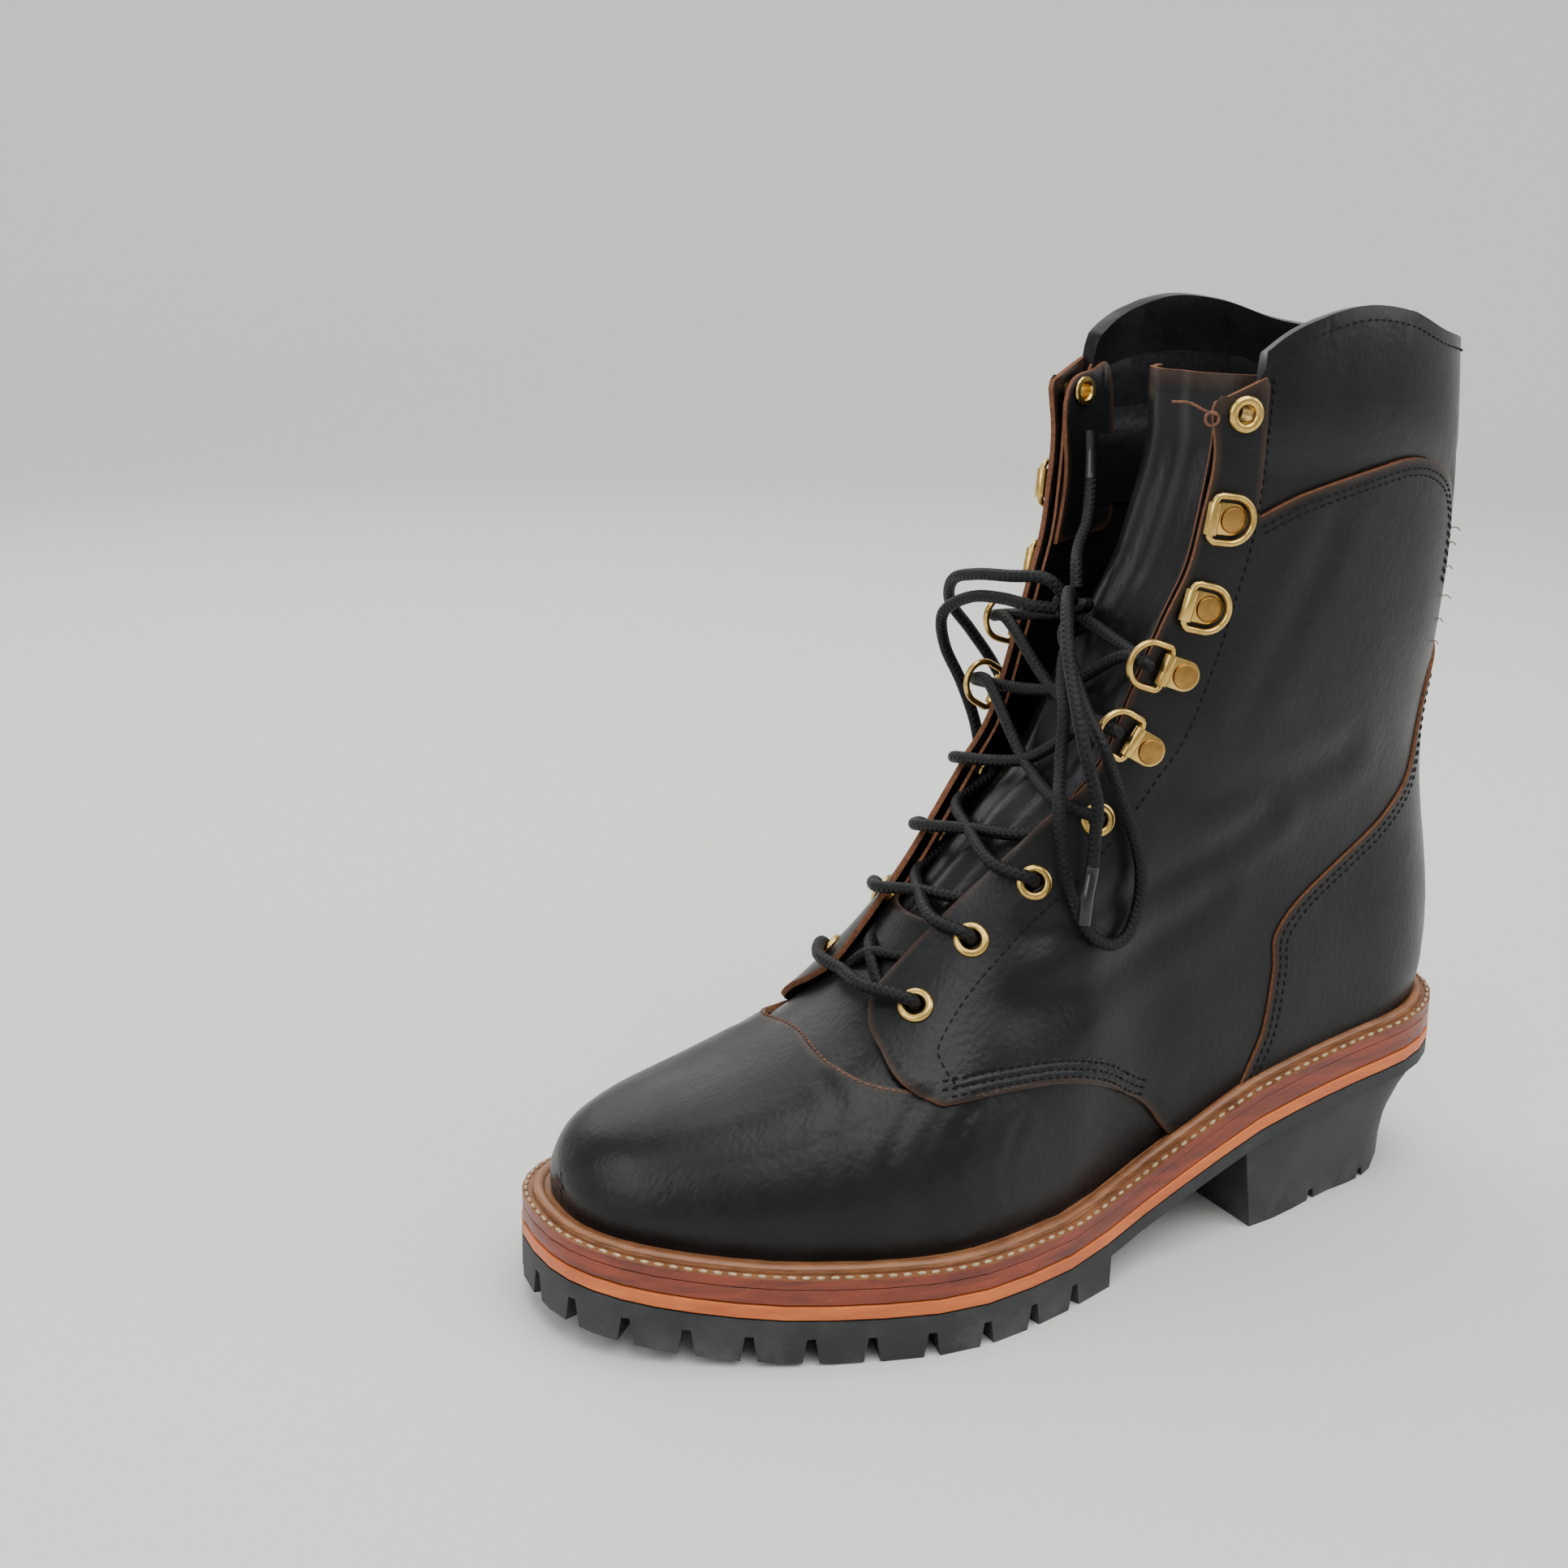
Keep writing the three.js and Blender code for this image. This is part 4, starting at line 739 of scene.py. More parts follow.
def makeCamera():
    lens = bpy.data.cameras.new("camera")
    lens.lens, lens.sensor_width, lens.clip_start = camera["lens"], 36, 0.01
    eye = linked("camera", lens)
    yaw, pitch, roll = camera["yaw"], camera["pitch"], camera["roll"]
    forward = Vector((-math.sin(yaw) * math.cos(pitch), -math.cos(yaw) * math.cos(pitch), -math.sin(pitch)))
    right = forward.cross(Vector((0, 0, 1))).normalized()
    up = right.cross(forward)
    level = math.cos(roll) * right + math.sin(roll) * up
    rise = -math.sin(roll) * right + math.cos(roll) * up
    turn = Matrix((level, rise, -forward)).transposed()
    eye.matrix_world = Matrix.Translation(Vector(camera["place"]) * millimetre) @ turn.to_4x4()
    bpy.context.scene.camera = eye


lights = [
    {"name": "key", "place": (0.15, 0.75, 1.5), "size": 1.3, "power": 21, "colour": (1, 0.98, 0.95)},
    {"name": "toeFill", "place": (1.6, 0.4, 0.9), "size": 1.2, "power": 14, "colour": (0.93, 0.97, 1)},
    {"name": "heelFill", "place": (-1.1, 0.9, 0.9), "size": 1.0, "power": 9, "colour": (0.93, 0.97, 1)},
    {"name": "back", "place": (0.2, -1.2, 1.2), "size": 1.2, "power": 9, "colour": (1, 1, 1)},
    {
        "name": "wall", "place": (-0.1, -0.5, 2.4), "size": 1.8, "power": 38, "colour": (1, 0.99, 0.97),
        "aim": (-1.1, -2.2, 0.9),
    },
]

# A round cove of floor and wall, in metres, and the light from the sky.
studio = {
    "reach": 1.9, "bend": 0.9, "wall": 1.7, "floor": (0.66, 0.655, 0.64, 1), "sky": (0.86, 0.88, 0.9, 1),
    "strength": 0.75, "aim": (0.1, 0, 0.12),
}


# A profile of distances and heights, turned once round the upright axis.
def spun(profile, steps):
    build = bmesh.new()
    verts = [build.verts.new((distance, 0, height)) for distance, height in profile]
    edges = [build.edges.new(pair) for pair in zip(verts, verts[1:])]
    bmesh.ops.spin(
        build, geom=verts + edges, cent=(0, 0, 0), axis=(0, 0, 1), angle=2 * math.pi, steps=steps, use_merge=True
    )
    bmesh.ops.remove_doubles(build, verts=build.verts, dist=1e-4)
    return build


def makeStudio():
    for light in lights:
        lamp = bpy.data.lights.new(light["name"], "AREA")
        lamp.size, lamp.energy, lamp.color = light["size"], light["power"], light["colour"]
        holder = linked(light["name"], lamp)
        holder.location = light["place"]
        aim = Vector(light.get("aim", studio["aim"]))
        holder.rotation_euler = (aim - Vector(light["place"])).to_track_quat("-Z", "Y").to_euler()
    reach, bend = studio["reach"], studio["bend"]
    profile = [(0, 0), (reach, 0)]
    profile += [(reach + bend * math.sin(t), bend * (1 - math.cos(t))) for t in np.linspace(0, math.pi / 2, 17)[1:]]
    cove = spun([*profile, (reach + bend, studio["wall"])], 96)
    bmesh.ops.recalc_face_normals(cove, faces=cove.faces)
    mesh = meshFrom("floor", cove)
    ground = linked("floor", mesh)
    pale = Finish("paleFloor", Base_Color=studio["floor"], Roughness=0.75)
    pale.feed(Roughness=pale.ramp(pale.noise(3, 3, 0.6), 0, 1, 0.7, 0.85))
    mesh.materials.append(pale.material)
    world = bpy.data.worlds.new("studio")
    bpy.context.scene.world = world
    world.use_nodes = True
    sky = world.node_tree.nodes["Background"].inputs
    sky["Color"].default_value, sky["Strength"].default_value = studio["sky"], studio["strength"]


makeCamera()
makeStudio()
print("camera and studio set")

# The lace's free lengths, in millimetres of the shared frame.
lace = {
    "radius": 1.9,
    "knot": (93, 0, 197),
    "knotReach": 3.7,
    "lateralLoop": [
        (96, 1.7, 191.2), (99.6, 4, 184.3), (104.5, 10.5, 178.5), (109.5, 19, 171.5), (114, 25, 159),
        (122, 36.5, 148), (120, 37, 135), (116.5, 36.5, 123), (113.5, 40, 113.5), (108.5, 41, 108.5),
        (103.5, 41, 106.5), (98, 40.5, 108.5), (94, 39.5, 116.5), (94, 40, 126.5), (96, 39.5, 135.5),
        (100, 39, 145.5), (105, 40, 155), (112, 43, 166), (112, 33, 176), (108, 19, 187), (103.7, 8.7, 193.1),
        (97.7, 3.75, 195.3),
    ],
    "lateralEnd": [
        (97, 3.5, 200.6), (102, 8, 205), (109, 17, 202), (116, 29, 190), (121, 45, 169), (116, 46, 152),
        (114.5, 44, 143), (114, 43, 132), (116, 44, 124), (117, 44.5, 116),
    ],
    "medialLoop": [
        (96.6, -2, 202.1), (101, -4.5, 206.5), (107, -16, 206), (110, -30, 204.5), (110, -42, 201),
        (105, -51, 192), (96, -52.5, 182), (88, -51, 171), (82, -48, 158), (80, -47, 142), (80, -47, 130),
        (85, -46.5, 124), (91, -46, 128), (94, -45.5, 139), (97, -46, 153), (101, -49, 166), (107, -50, 178),
        (112, -44, 190), (111, -30, 197.5), (108, -17, 199), (105, -7.3, 198.4), (98.2, -3.1, 197.6),
    ],
    "medialEnd": [
        (91.6, -2.4, 203.2), (89.5, -6, 209.5), (84, -13, 214), (77, -19, 220), (72, -25, 229), (70, -28, 239),
        (70, -29, 247),
    ],
}


def fromHeel(points):
    return np.asarray(points, float) + [boot["heelRestX"], 0, 0]


def layCord(name, route, node, tip):
    line = evenly(smoothLine(fromHeel(route), 1.0), 1.0)
    piece = finishObject(name, ropeMesh(name, line, lace["radius"]), [waxedLace], replaces=[node])
    if tip:
        cap = ropeMesh(name + "Tip", line[-tip:], lace["radius"] * 1.06)
        finishObject(name + "Tip", cap, [agletFilm])


def makeKnot():
    knot, reach = fromHeel(lace["knot"]), lace["knotReach"]
    turns = np.linspace(0, 2 * math.pi, 61)[:-1]
    line = np.stack([
        knot[0] + 0.8 + 2.5 * np.sin(3 * turns),
        knot[1] + reach * (np.sin(turns) + 0.55 * np.sin(2 * turns + 0.4)),
        knot[2] + reach * (np.cos(turns) - 0.55 * np.cos(2 * turns)),
    ], -1)
    mesh = ropeMesh("laceKnot", line, lace["radius"], closed=True)
    finishObject("laceKnot", mesh, [waxedLace], replaces=["lace_knot"])


makeKnot()
for kind, side, farEnd, tip in (
    ("loop", "lateral", "knot", 0), ("loop", "medial", "knot", 0), ("end", "lateral", "fitting", 18),
    ("end", "medial", "fitting", 16),
):
    name = f"lace{kind.capitalize()}{side.capitalize()}"
    layCord(name, lace[side + kind.capitalize()], f"lace_{kind}_{side}", tip)
print("cords laid")

# Sole. The layers keep their solids, with softened edges and their own finishes.
def dress(name, material, edge):
    piece = nodes[name]
    piece.data.materials.clear()
    piece.data.materials.append(material)
    joined = piece.modifiers.new("joined", "WELD")
    joined.merge_threshold = 0.00001
    rounded(piece, edge, 2, 35)
    even = piece.modifiers.new("even", "WEIGHTED_NORMAL")
    even.keep_sharp = True
    piece.data.shade_smooth()


def burnishSide(piece):
    mesh = piece.data
    mesh.materials.append(redMidsole)
    for face in mesh.polygons:
        middle = np.array(face.center) * 1000 + [boot["heelRestX"], 0, 0]
        if abs(face.normal.z) < 0.5 and middle[2] < weltTop(middle[0]) - 0.3:
            face.material_index = 1


for name, material, edge in (
    ("outsole", soleRubber, 0.6), ("heel_block", soleRubber, 0.7), ("midsole_lower", orangeStrip, 0.5),
    ("midsole_upper", redMidsole, 0.5), ("welt", welt, 0.6), ("insole", insoleFinish, 0.6),
):
    dress(name, material, edge)
burnishSide(nodes["welt"])


def weltLine(inset, lift):
    stations = boot["soleLength"] * (1 - np.cos(np.linspace(0, math.pi, 160))) / 2
    outer = np.stack([stations, soleEdge(stations, 1)], -1)
    inner = np.stack([stations, soleEdge(stations, -1)], -1)[::-1]
    loop = evenly(np.vstack([outer, inner[1:]]), 1.5)[:-1]
    along = unit(np.roll(loop, -1, 0) - np.roll(loop, 1, 0))
    loop = loop + np.stack([along[:, 1], -along[:, 0]], -1) * inset
    points = np.column_stack([loop, weltTop(loop[:, 0]) + lift])
    return np.vstack([points, points[:1]])


# The bead and the stitches, by how far in from the welt's edge they lie and how far above it.
bead = {"inset": 5.3, "lift": 0.5, "radius": 1.9, "step": 2.5}
weltStitch = {"inset": 1.5, "lift": 0.3}
beadLine = evenly(weltLine(bead["inset"], bead["lift"]), bead["step"])[:-1]
beadMesh = ropeMesh("weltBead", beadLine, bead["radius"], 14, closed=True)
finishObject("weltBead", beadMesh, [welt])
weltRow = weltLine(weltStitch["inset"], weltStitch["lift"])
upwards = np.tile([0, 0, 1.0], (len(weltRow), 1))
stitches("weltStitches", [(weltRow, upwards)], creamThread, length=3.1, pitch=4.1, radius=0.62)
print("sole dressed")

# Where the lower flaps stop short of the middle of the throat.
def flapAlong(at):
    low, high = 0.8, float(np.interp(at, *np.transpose(throatEdge)))
    if ringHalf(at, high) >= boot["throatGap"]:
        return high
    for _ in range(24):
        middle = (low + high) / 2
        if ringHalf(at, middle) > boot["throatGap"]:
            low = middle
        else:
            high = middle
    return low


flapEdge = [(at, flapAlong(at) if 0.35 < at < 0.7 else along) for at, along in throatEdge]

# Creases and dents of the worn leather: place on the last, reach in millimetres and depth.
creases = [
    {"line": [(0.05, 0.735), (0.12, 0.775), (0.19, 0.8), (0.25, 0.83)], "depth": 0.6, "width": 2.3},
    {"line": [(0.04, 0.68), (0.1, 0.71), (0.17, 0.735), (0.225, 0.75)], "depth": 0.6, "width": 2.2},
    {"line": [(0.06, 0.63), (0.12, 0.65), (0.18, 0.66)], "depth": 0.5, "width": 2.2},
    {"line": [(0.1, 0.82), (0.17, 0.85), (0.24, 0.9), (0.28, 0.95)], "depth": 0.4, "width": 2.4},
    {"line": [(0.45, 0.84), (0.47, 0.72), (0.5, 0.6), (0.55, 0.48)], "depth": 0.9, "width": 5},
    {"line": [(0.62, 0.72), (0.6, 0.6), (0.6, 0.47), (0.62, 0.34)], "depth": 0.8, "width": 6},
    {"line": [(0.36, 0.8), (0.38, 0.66), (0.43, 0.52)], "depth": 0.8, "width": 6},
    {"line": [(0.7, 0.62), (0.8, 0.56), (0.88, 0.5)], "depth": 0.5, "width": 5},
]


def creaseRelief():
    lines = []
    for crease in creases:
        line = evenly(smoothLine(crease["line"], 0.01), 0.01)
        for hand, share in ((1, 1), (-1, 0.7)):
            points = onLast(overBack(np.clip(line, 0, 1), hand))
            lines.append((points, crease["depth"] * share, crease["width"]))

    def relief(rows, points):
        total = np.zeros(len(points))
        for line, depth, width in lines:
            distance = nearest(points, line)
            total -= depth * np.exp(-((distance / width) ** 2))
            total += depth * 0.45 * np.exp(-(((distance - 2 * width) / width) ** 2))
        return total

    return relief


# Holes for the eyelets, with the fittings' own frames.
def fittingRow(index, side):
    return turned([fittings[index]], side)[0]


def fittingFrame(index, side, height=None):
    height = boot["gap"] + boot["panel"] if height is None else height
    row = fittingRow(index, side)
    point = onLast([row], height)[0]
    normal = surfaceNormal(row[:1], row[1:])[0]
    before = onLast([fittingRow(max(0, index - 1), side)], height)[0]
    after = onLast([fittingRow(min(len(fittings) - 1, index + 1), side)], height)[0]
    up = after - before
    up = unit(up - normal * up.dot(normal))
    forward = np.cross(normal, up) * side
    across = np.cross(normal, forward)
    return point, forward, across, normal


holeRadius = 3.0


# The inner side's turns are counted on from the outer's where a panel goes over the back.
def holesOn(side, back=False):
    return [fittingRow(index, side) + [0, 2 * math.pi if back else 0] for index in eyelets]


sideNames = {1: "lateral", -1: "medial"}
worn = creaseRelief()

# Vamp, from the welt up to the tongue's seam, running a little under the quarters.
hidden = [(0, 0.36), (0.12, 0.42), (0.212, 0.53), (0.252, 0.635), (0.266, 0.74), (0.266, 0.8), (0.267, 0.854)]
vampOutline = closedOutline([
    [(0, math.acos(2 * 0.36 - 1)), (0, -math.acos(2 * 0.36 - 1))],
    turned(hidden, -1), turned(vampSeam, -1)[1:], turned(vampSeam, 1)[::-1][1:], turned(hidden, 1)[::-1],
])
panel("vamp", vampOutline, -1.9, 1.9, [leather, rawEdge], spacing=1.6, relief=worn, replaces=["upper"])

# Quarters with their stitched edges.
rearUnder = [
    (0.72, 0.045), (0.64, 0.055), (0.547, 0.075), (0.488, 0.14), (0.42, 0.235), (0.36, 0.295), (0.299, 0.305),
    (0.202, 0.27), (0.086, 0.255), (0, 0.27),
]
for side, name in sideNames.items():
    outline = closedOutline([
        turned(flapEdge, side), turned(facingTop, side), turned(facingBack, side), turned(quarterTop, side),
        turned(rearUnder, side), turned(quarterFoot, side),
    ])
    panel(
        "quarter" + name.capitalize(), outline, boot["gap"], boot["panel"], [leather, rawEdge], relief=worn,
        holes=holesOn(side), replaces=["quarter_" + name],
    )

# Heel counter, over both quarters.
counterOutline = closedOutline([overBack(counterEdge, 1), overBack(counterEdge, -1)[::-1]])
panel("heelCounter", counterOutline, 1.2, 1.9, [leather, rawEdge], replaces=["heel_counter"])

# Collar and back strip: soft, padded and rounded at the top.
collarUnder = [
    (0.92, 0.7), (0.875, 0.69), (0.87, 0.6), (0.888, 0.4), (0.892, 0.29), (0.883, 0.21), (0.86, 0.16), (0.79, 0.16),
    (0.715, 0.13), (0.68, 0.11),
]
collarOutline = closedOutline([
    overBack(collarUnder, 1)[::-1], overBack(collarLine, 1), overBack(collarLine, -1)[::-1],
    overBack(collarUnder, -1),
])
collarPuff = {"height": 1.9, "power": 0.8, "sink": 0.6}


# The collar's swell between the quarters' top edge and its own.
def puff(rows, points):
    along = (1 + np.cos(rows[:, 1])) / 2
    low, top = (np.interp(along, *np.array(line)[:, ::-1].T) for line in (quarterTop[7:2:-1], collarLine[::-1]))
    share = np.clip((rows[:, 0] - low) / np.maximum(0.01, top - low), 0, 1)
    swell = collarPuff["height"] * np.sin(math.pi * share) ** collarPuff["power"]
    return swell * smoothStep(0.0, 0.1, along) - collarPuff["sink"]


panel("collar", collarOutline, -4.2, 5.0, [collarLeather], relief=puff, round=2.2, rounds=5)

# Lining, seen inside the collar.
liningEdge = [
    [(0.302, 0.955), (0.274, 0.9)], flapEdge[1:-1],
    [(0.95, 0.77), (0.962, 0.69), *[(at - 0.008, along) for at, along in collarLine]],
]
liningOutline = closedOutline([
    [(0, 0.0), (0, 2 * math.pi)], [(0.31, 2 * math.pi)], *[overBack(line, -1) for line in liningEdge],
    *[overBack(line, 1)[::-1] for line in liningEdge[::-1]], [(0.31, 0.0)],
])
liningHoles = holesOn(1) + holesOn(-1, True)
panel("lining", liningOutline, -3.2, 1.0, [liningLeather, rawEdge], spacing=3.4, holes=liningHoles)

# The tongue's foot comes out from under the vamp, and a facing patch backs the inner side's top eyelet.
footSide = [(0.245, 0.8), (0.3, 0.82), (0.36, 0.86), (0.42, 0.9), (0.47, 0.9)]
footOutline = closedOutline([turned(footSide, 1), turned(footSide, -1)[::-1]])
panel("tongueFoot", footOutline, -3.5, 1.4, [tongueLeather])
facing = [
    (0.835, 0.79), (0.9, 0.768), (0.95, 0.777), (0.961, 0.69), (0.961, 0.64), (0.87, 0.622), (0.852, 0.628),
    (0.844, 0.645),
]
patchOutline = closedOutline([overBack(facing, -1)])
panel("facingPatch", patchOutline, -4.6, 1.3, [leather, rawEdge], holes=liningHoles[-1:])


# The gathered band of leather beside the quarters' foot: its ridges lie between the rows of stitches.
pucker = {"ridge": 0.42, "first": 2.0, "pitch": 2.2, "wave": 0.14, "waves": 2.1, "sink": 0.6, "from": 1.2, "to": 7.6}


def puckers(rows, points):
    distance = nearest(points, footLine)
    ridge = pucker["ridge"] * np.sin(math.pi * (distance - pucker["first"]) / pucker["pitch"]) ** 2
    ridge += pucker["wave"] * np.sin(points[:, 0] * pucker["waves"]) - 0.1
    way = np.array([np.linalg.norm(footLine - point, axis=1).argmin() for point in points]) / (len(footLine) - 1)
    fade = smoothStep(0.0, 0.07, way) * smoothStep(0.0, 0.1, 1 - way)
    within = (distance > pucker["from"]) & (distance < pucker["to"])
    return np.where(within, ridge * fade - pucker["sink"] * (1 - fade), -pucker["sink"])


for side, name in sideNames.items():
    foot = smoothLine(turned(quarterFoot[1:], side), 2.0, flatScale)
    footLine = rowOn(foot, 0, boot["gap"])[0]
    band = closedOutline([rowsBeside(foot, -0.6 * side), rowsBeside(foot, -8.6 * side)[::-1]])
    name = "puckered" + name.capitalize()
    panel(name, band, boot["gap"] + 1.1, 0.9, [leather], spacing=0.85, relief=puckers, round=0.1)
print("panels cut")

# Rows of stitching.
eyestay = [
    (0.966, 0.672), (0.889, 0.676), (0.808, 0.7), (0.743, 0.715), (0.664, 0.735), (0.587, 0.782), (0.513, 0.83),
    (0.448, 0.872), (0.38, 0.9), (0.33, 0.885), (0.295, 0.845), (0.262, 0.8),
]
threads, footThreads = [], []
outer = boot["gap"] + boot["panel"]
for side in (1, -1):
    for line, inwards, height in (
        (eyestay, 0, outer + 0.05), (quarterTop[:-1], -3.0, outer + 0.05), (quarterTop[:-1], -5.2, outer + 0.05),
        (counterEdge[1:], 2.4, 3.15), (counterEdge[1:], 5.0, 3.15), (collarLine, -3.4, 0.75),
    ):
        row, normal = rowOn(smoothLine(turned(line, side), 3.0, flatScale), inwards * side, height)
        if line not in (counterEdge[1:], collarLine):
            row = row + normal * worn(None, row)[:, None]
        threads.append((row, normal))
    foot = smoothLine(turned(quarterFoot[1:], side), 2.0, flatScale)
    footThreads += [rowOn(foot, inwards * side, outer + 0.2) for inwards in (-2.0, -4.2, -6.4)]
seam = smoothLine(np.vstack([turned(vampSeam, 1), turned(vampSeam, -1)[::-1][1:]]), 2.0, flatScale)
for name, rows, thread, length, pitch, radius in (
    ("footStitches", footThreads, blackThread, 2.2, 2.9, 0.46),
    ("seamStitches", threads, blackThread, 2.1, 2.8, 0.34),
    ("vampSeamStitches", [rowOn(seam, 0.8, 0.1)], brownThread, 1.5, 1.9, 0.42),
):
    stitches(name, rows, thread, length, pitch, radius)


# A curl of thread at the throat's top corner and short ends up the back seam.
def looseThreads():
    row = turned([(0.95, 0.787)])
    corner, out = onLast(row, 2.6)[0], surfaceNormal(*row.T)[0]
    turns = np.linspace(0, 2 * math.pi * 2.4, 40)
    side, up = unit(np.cross(out, [0, 0, 1.0])), np.array([0, 0, 1.0])
    coil = corner + 1.9 * (np.outer(np.cos(turns), side) + np.outer(np.sin(turns), up)) + np.outer(0.05 * turns, out)
    tail = smoothLine([coil[-1], coil[-1] + [6, 1.5, 1.5], coil[-1] + [13, 3, 4], coil[-1] + [19, 3.5, 4.5]], 0.8)
    strands = [np.vstack([coil, tail[1:]])]
    for at, length in ((0.86, 2.6), (0.845, 1.6), (0.82, 1.4), (0.79, 2.2), (0.765, 1.2), (0.74, 1.4)):
        row = turned([(at, 0.095)])
        start, out = onLast(row, 1.9)[0], surfaceNormal(*row.T)[0] * length
        strands.append(smoothLine([start, start + out * 0.5 + [-0.4, 0, 0.5], start + out + [-0.3, 0.6, -0.4]], 0.5))
    build = bmesh.new()
    for i, strand in enumerate(strands):
        build.from_mesh(ropeMesh(f"strand{i}", strand, 0.42 if i == 0 else 0.16, 6))
    finishObject("looseThreads", meshFrom("looseThreads", build), [brownThread])


looseThreads()
print("seams stitched")

# Tongue: a soft sheet up the throat with long folds.
tongueAt = {column: curveThrough(tongueRows, column) for column in ("depth", "half", "droop", "lean")}
edgeAlong = curveThrough(dict(zip(("at", "along"), np.transpose(throatEdge))), "along")


def throatPoint(at, height=0.0):
    def line(ringAt):
        x, z = middlePoint(ringAt, edgeAlong(ringAt))
        return np.stack([x, 0 * x, z], -1)

    at = np.atleast_1d(np.asarray(at, float))
    along = unit(line(np.minimum(1, at + 0.01)) - line(at - 0.01))
    outward = np.stack([along[:, 2], 0 * at, -along[:, 0]], -1)
    return line(at) + outward * np.reshape(height, (-1, 1)), outward


# The sheet's rings from foot to top, its folds' heights, and how far it dips under the lowest laces.
tongue = {"from": 0.3, "to": 0.965, "long": 0.8, "fine": 0.4, "ridge": 1.8, "ridgeAt": -0.35, "dip": 5, "wall": 2.0}


def makeTongue():
    build = bmesh.new()
    bmesh.ops.create_grid(build, x_segments=40, y_segments=110, size=0.5)
    build.verts.ensure_lookup_table()
    flat = np.array([v.co[:2] for v in build.verts]) + 0.5
    u, at = flat[:, 0] * 2 - 1, tongue["from"] + (tongue["to"] - tongue["from"]) * flat[:, 1]
    folds = tongue["long"] * np.sin(6 * u + 5 * at) * smoothStep(0.5, 0.8, at)
    folds += tongue["fine"] * np.sin(13 * u - 9 * at)
    folds += tongue["ridge"] * np.exp(-(((u - tongue["ridgeAt"]) / 0.3) ** 2)) * smoothStep(0.55, 0.75, at)
    folds *= smoothStep(0.36, 0.46, at)
    middle, outward = throatPoint(at)
    rise = folds - 0.2 - tongueAt["depth"](at) - tongueAt["droop"](at) * u * u
    rise -= tongue["dip"] * (1 - smoothStep(0.37, 0.45, at))
    points = middle + outward * rise[:, None]
    points[:, 1] = tongueAt["lean"](at) + tongueAt["half"](at) * u
    for vert, point in zip(build.verts, toFrame(points)):
        vert.co = point
    bmesh.ops.recalc_face_normals(build, faces=build.faces)
    mesh = meshFrom("tongue", build)
    addEdge(mesh, np.minimum((1 - np.abs(u)) * 60, (1 - flat[:, 1]) * 190))
    piece = finishObject("tongueSheet", mesh, [tongueLeather, rawEdge], replaces=["tongue"])
    walled(piece, tongue["wall"], 0, 1)
    applyModifiers(piece)


makeTongue()
print("tongue laid")

# Brass fittings, drawn in a fitting's own frame: forwards, across and outwards.
eyelet = {"flange": 5.3, "hole": 2.5, "rise": 1.2, "washer": 4.6, "depth": 5.7, "topDepth": 7.3, "lift": 0.1}
clip = {
    "width": 9.2, "length": 7, "plate": 0.9, "rivet": 3.9, "head": 0.8, "tube": 1.9, "base": 0.1, "tubeBase": 0.6,
    "tubeWall": 0.55, "tubeHollow": 0.8, "crown": 0.22,
}
dRing = {"wire": 1.0, "half": 6.6, "reach": 12.6, "corner": 1.4, "pulled": math.radians(168)}


def placed(build, at, side, angle=None):
    point, forward, across, normal = fittingFrame(at, side)
    turn = Matrix((forward, across, normal)).transposed().to_4x4()
    local = Matrix.Translation(toFrame(point)) @ turn @ Matrix.Scale(millimetre, 4)
    if angle is not None:
        hinge = Matrix.Translation((clip["length"], 0, clip["tubeBase"] + clip["tube"]))
        local = local @ hinge @ Matrix.Rotation(angle, 4, "Y")
    bmesh.ops.transform(build, matrix=local, verts=build.verts)
    bmesh.ops.recalc_face_normals(build, faces=build.faces)
    return build


def softened(build, width, angle=40):
    sharp = [e for e in build.edges if e.is_manifold and e.calc_face_angle() > math.radians(angle)]
    bmesh.ops.bevel(build, geom=sharp, offset=width, segments=2, profile=0.5, affect="EDGES", material=-1)


def eyeletShape(index):
    hole, flange = eyelet["hole"], eyelet["flange"]
    depth = eyelet["topDepth"] if index == eyelets[-1] else eyelet["depth"]
    crown = (flange + hole) / 2
    washer = eyelet["washer"]
    profile = [(washer, -depth), (washer - 0.3, -depth - 0.5), (hole + 0.5, -depth - 0.6), (hole, -depth)]
    for step in range(9):
        t = math.pi * (1 - step / 8)
        profile.append((crown + (crown - hole) * math.cos(t), eyelet["lift"] + eyelet["rise"] * math.sin(t)))
    return spun(profile, 36)


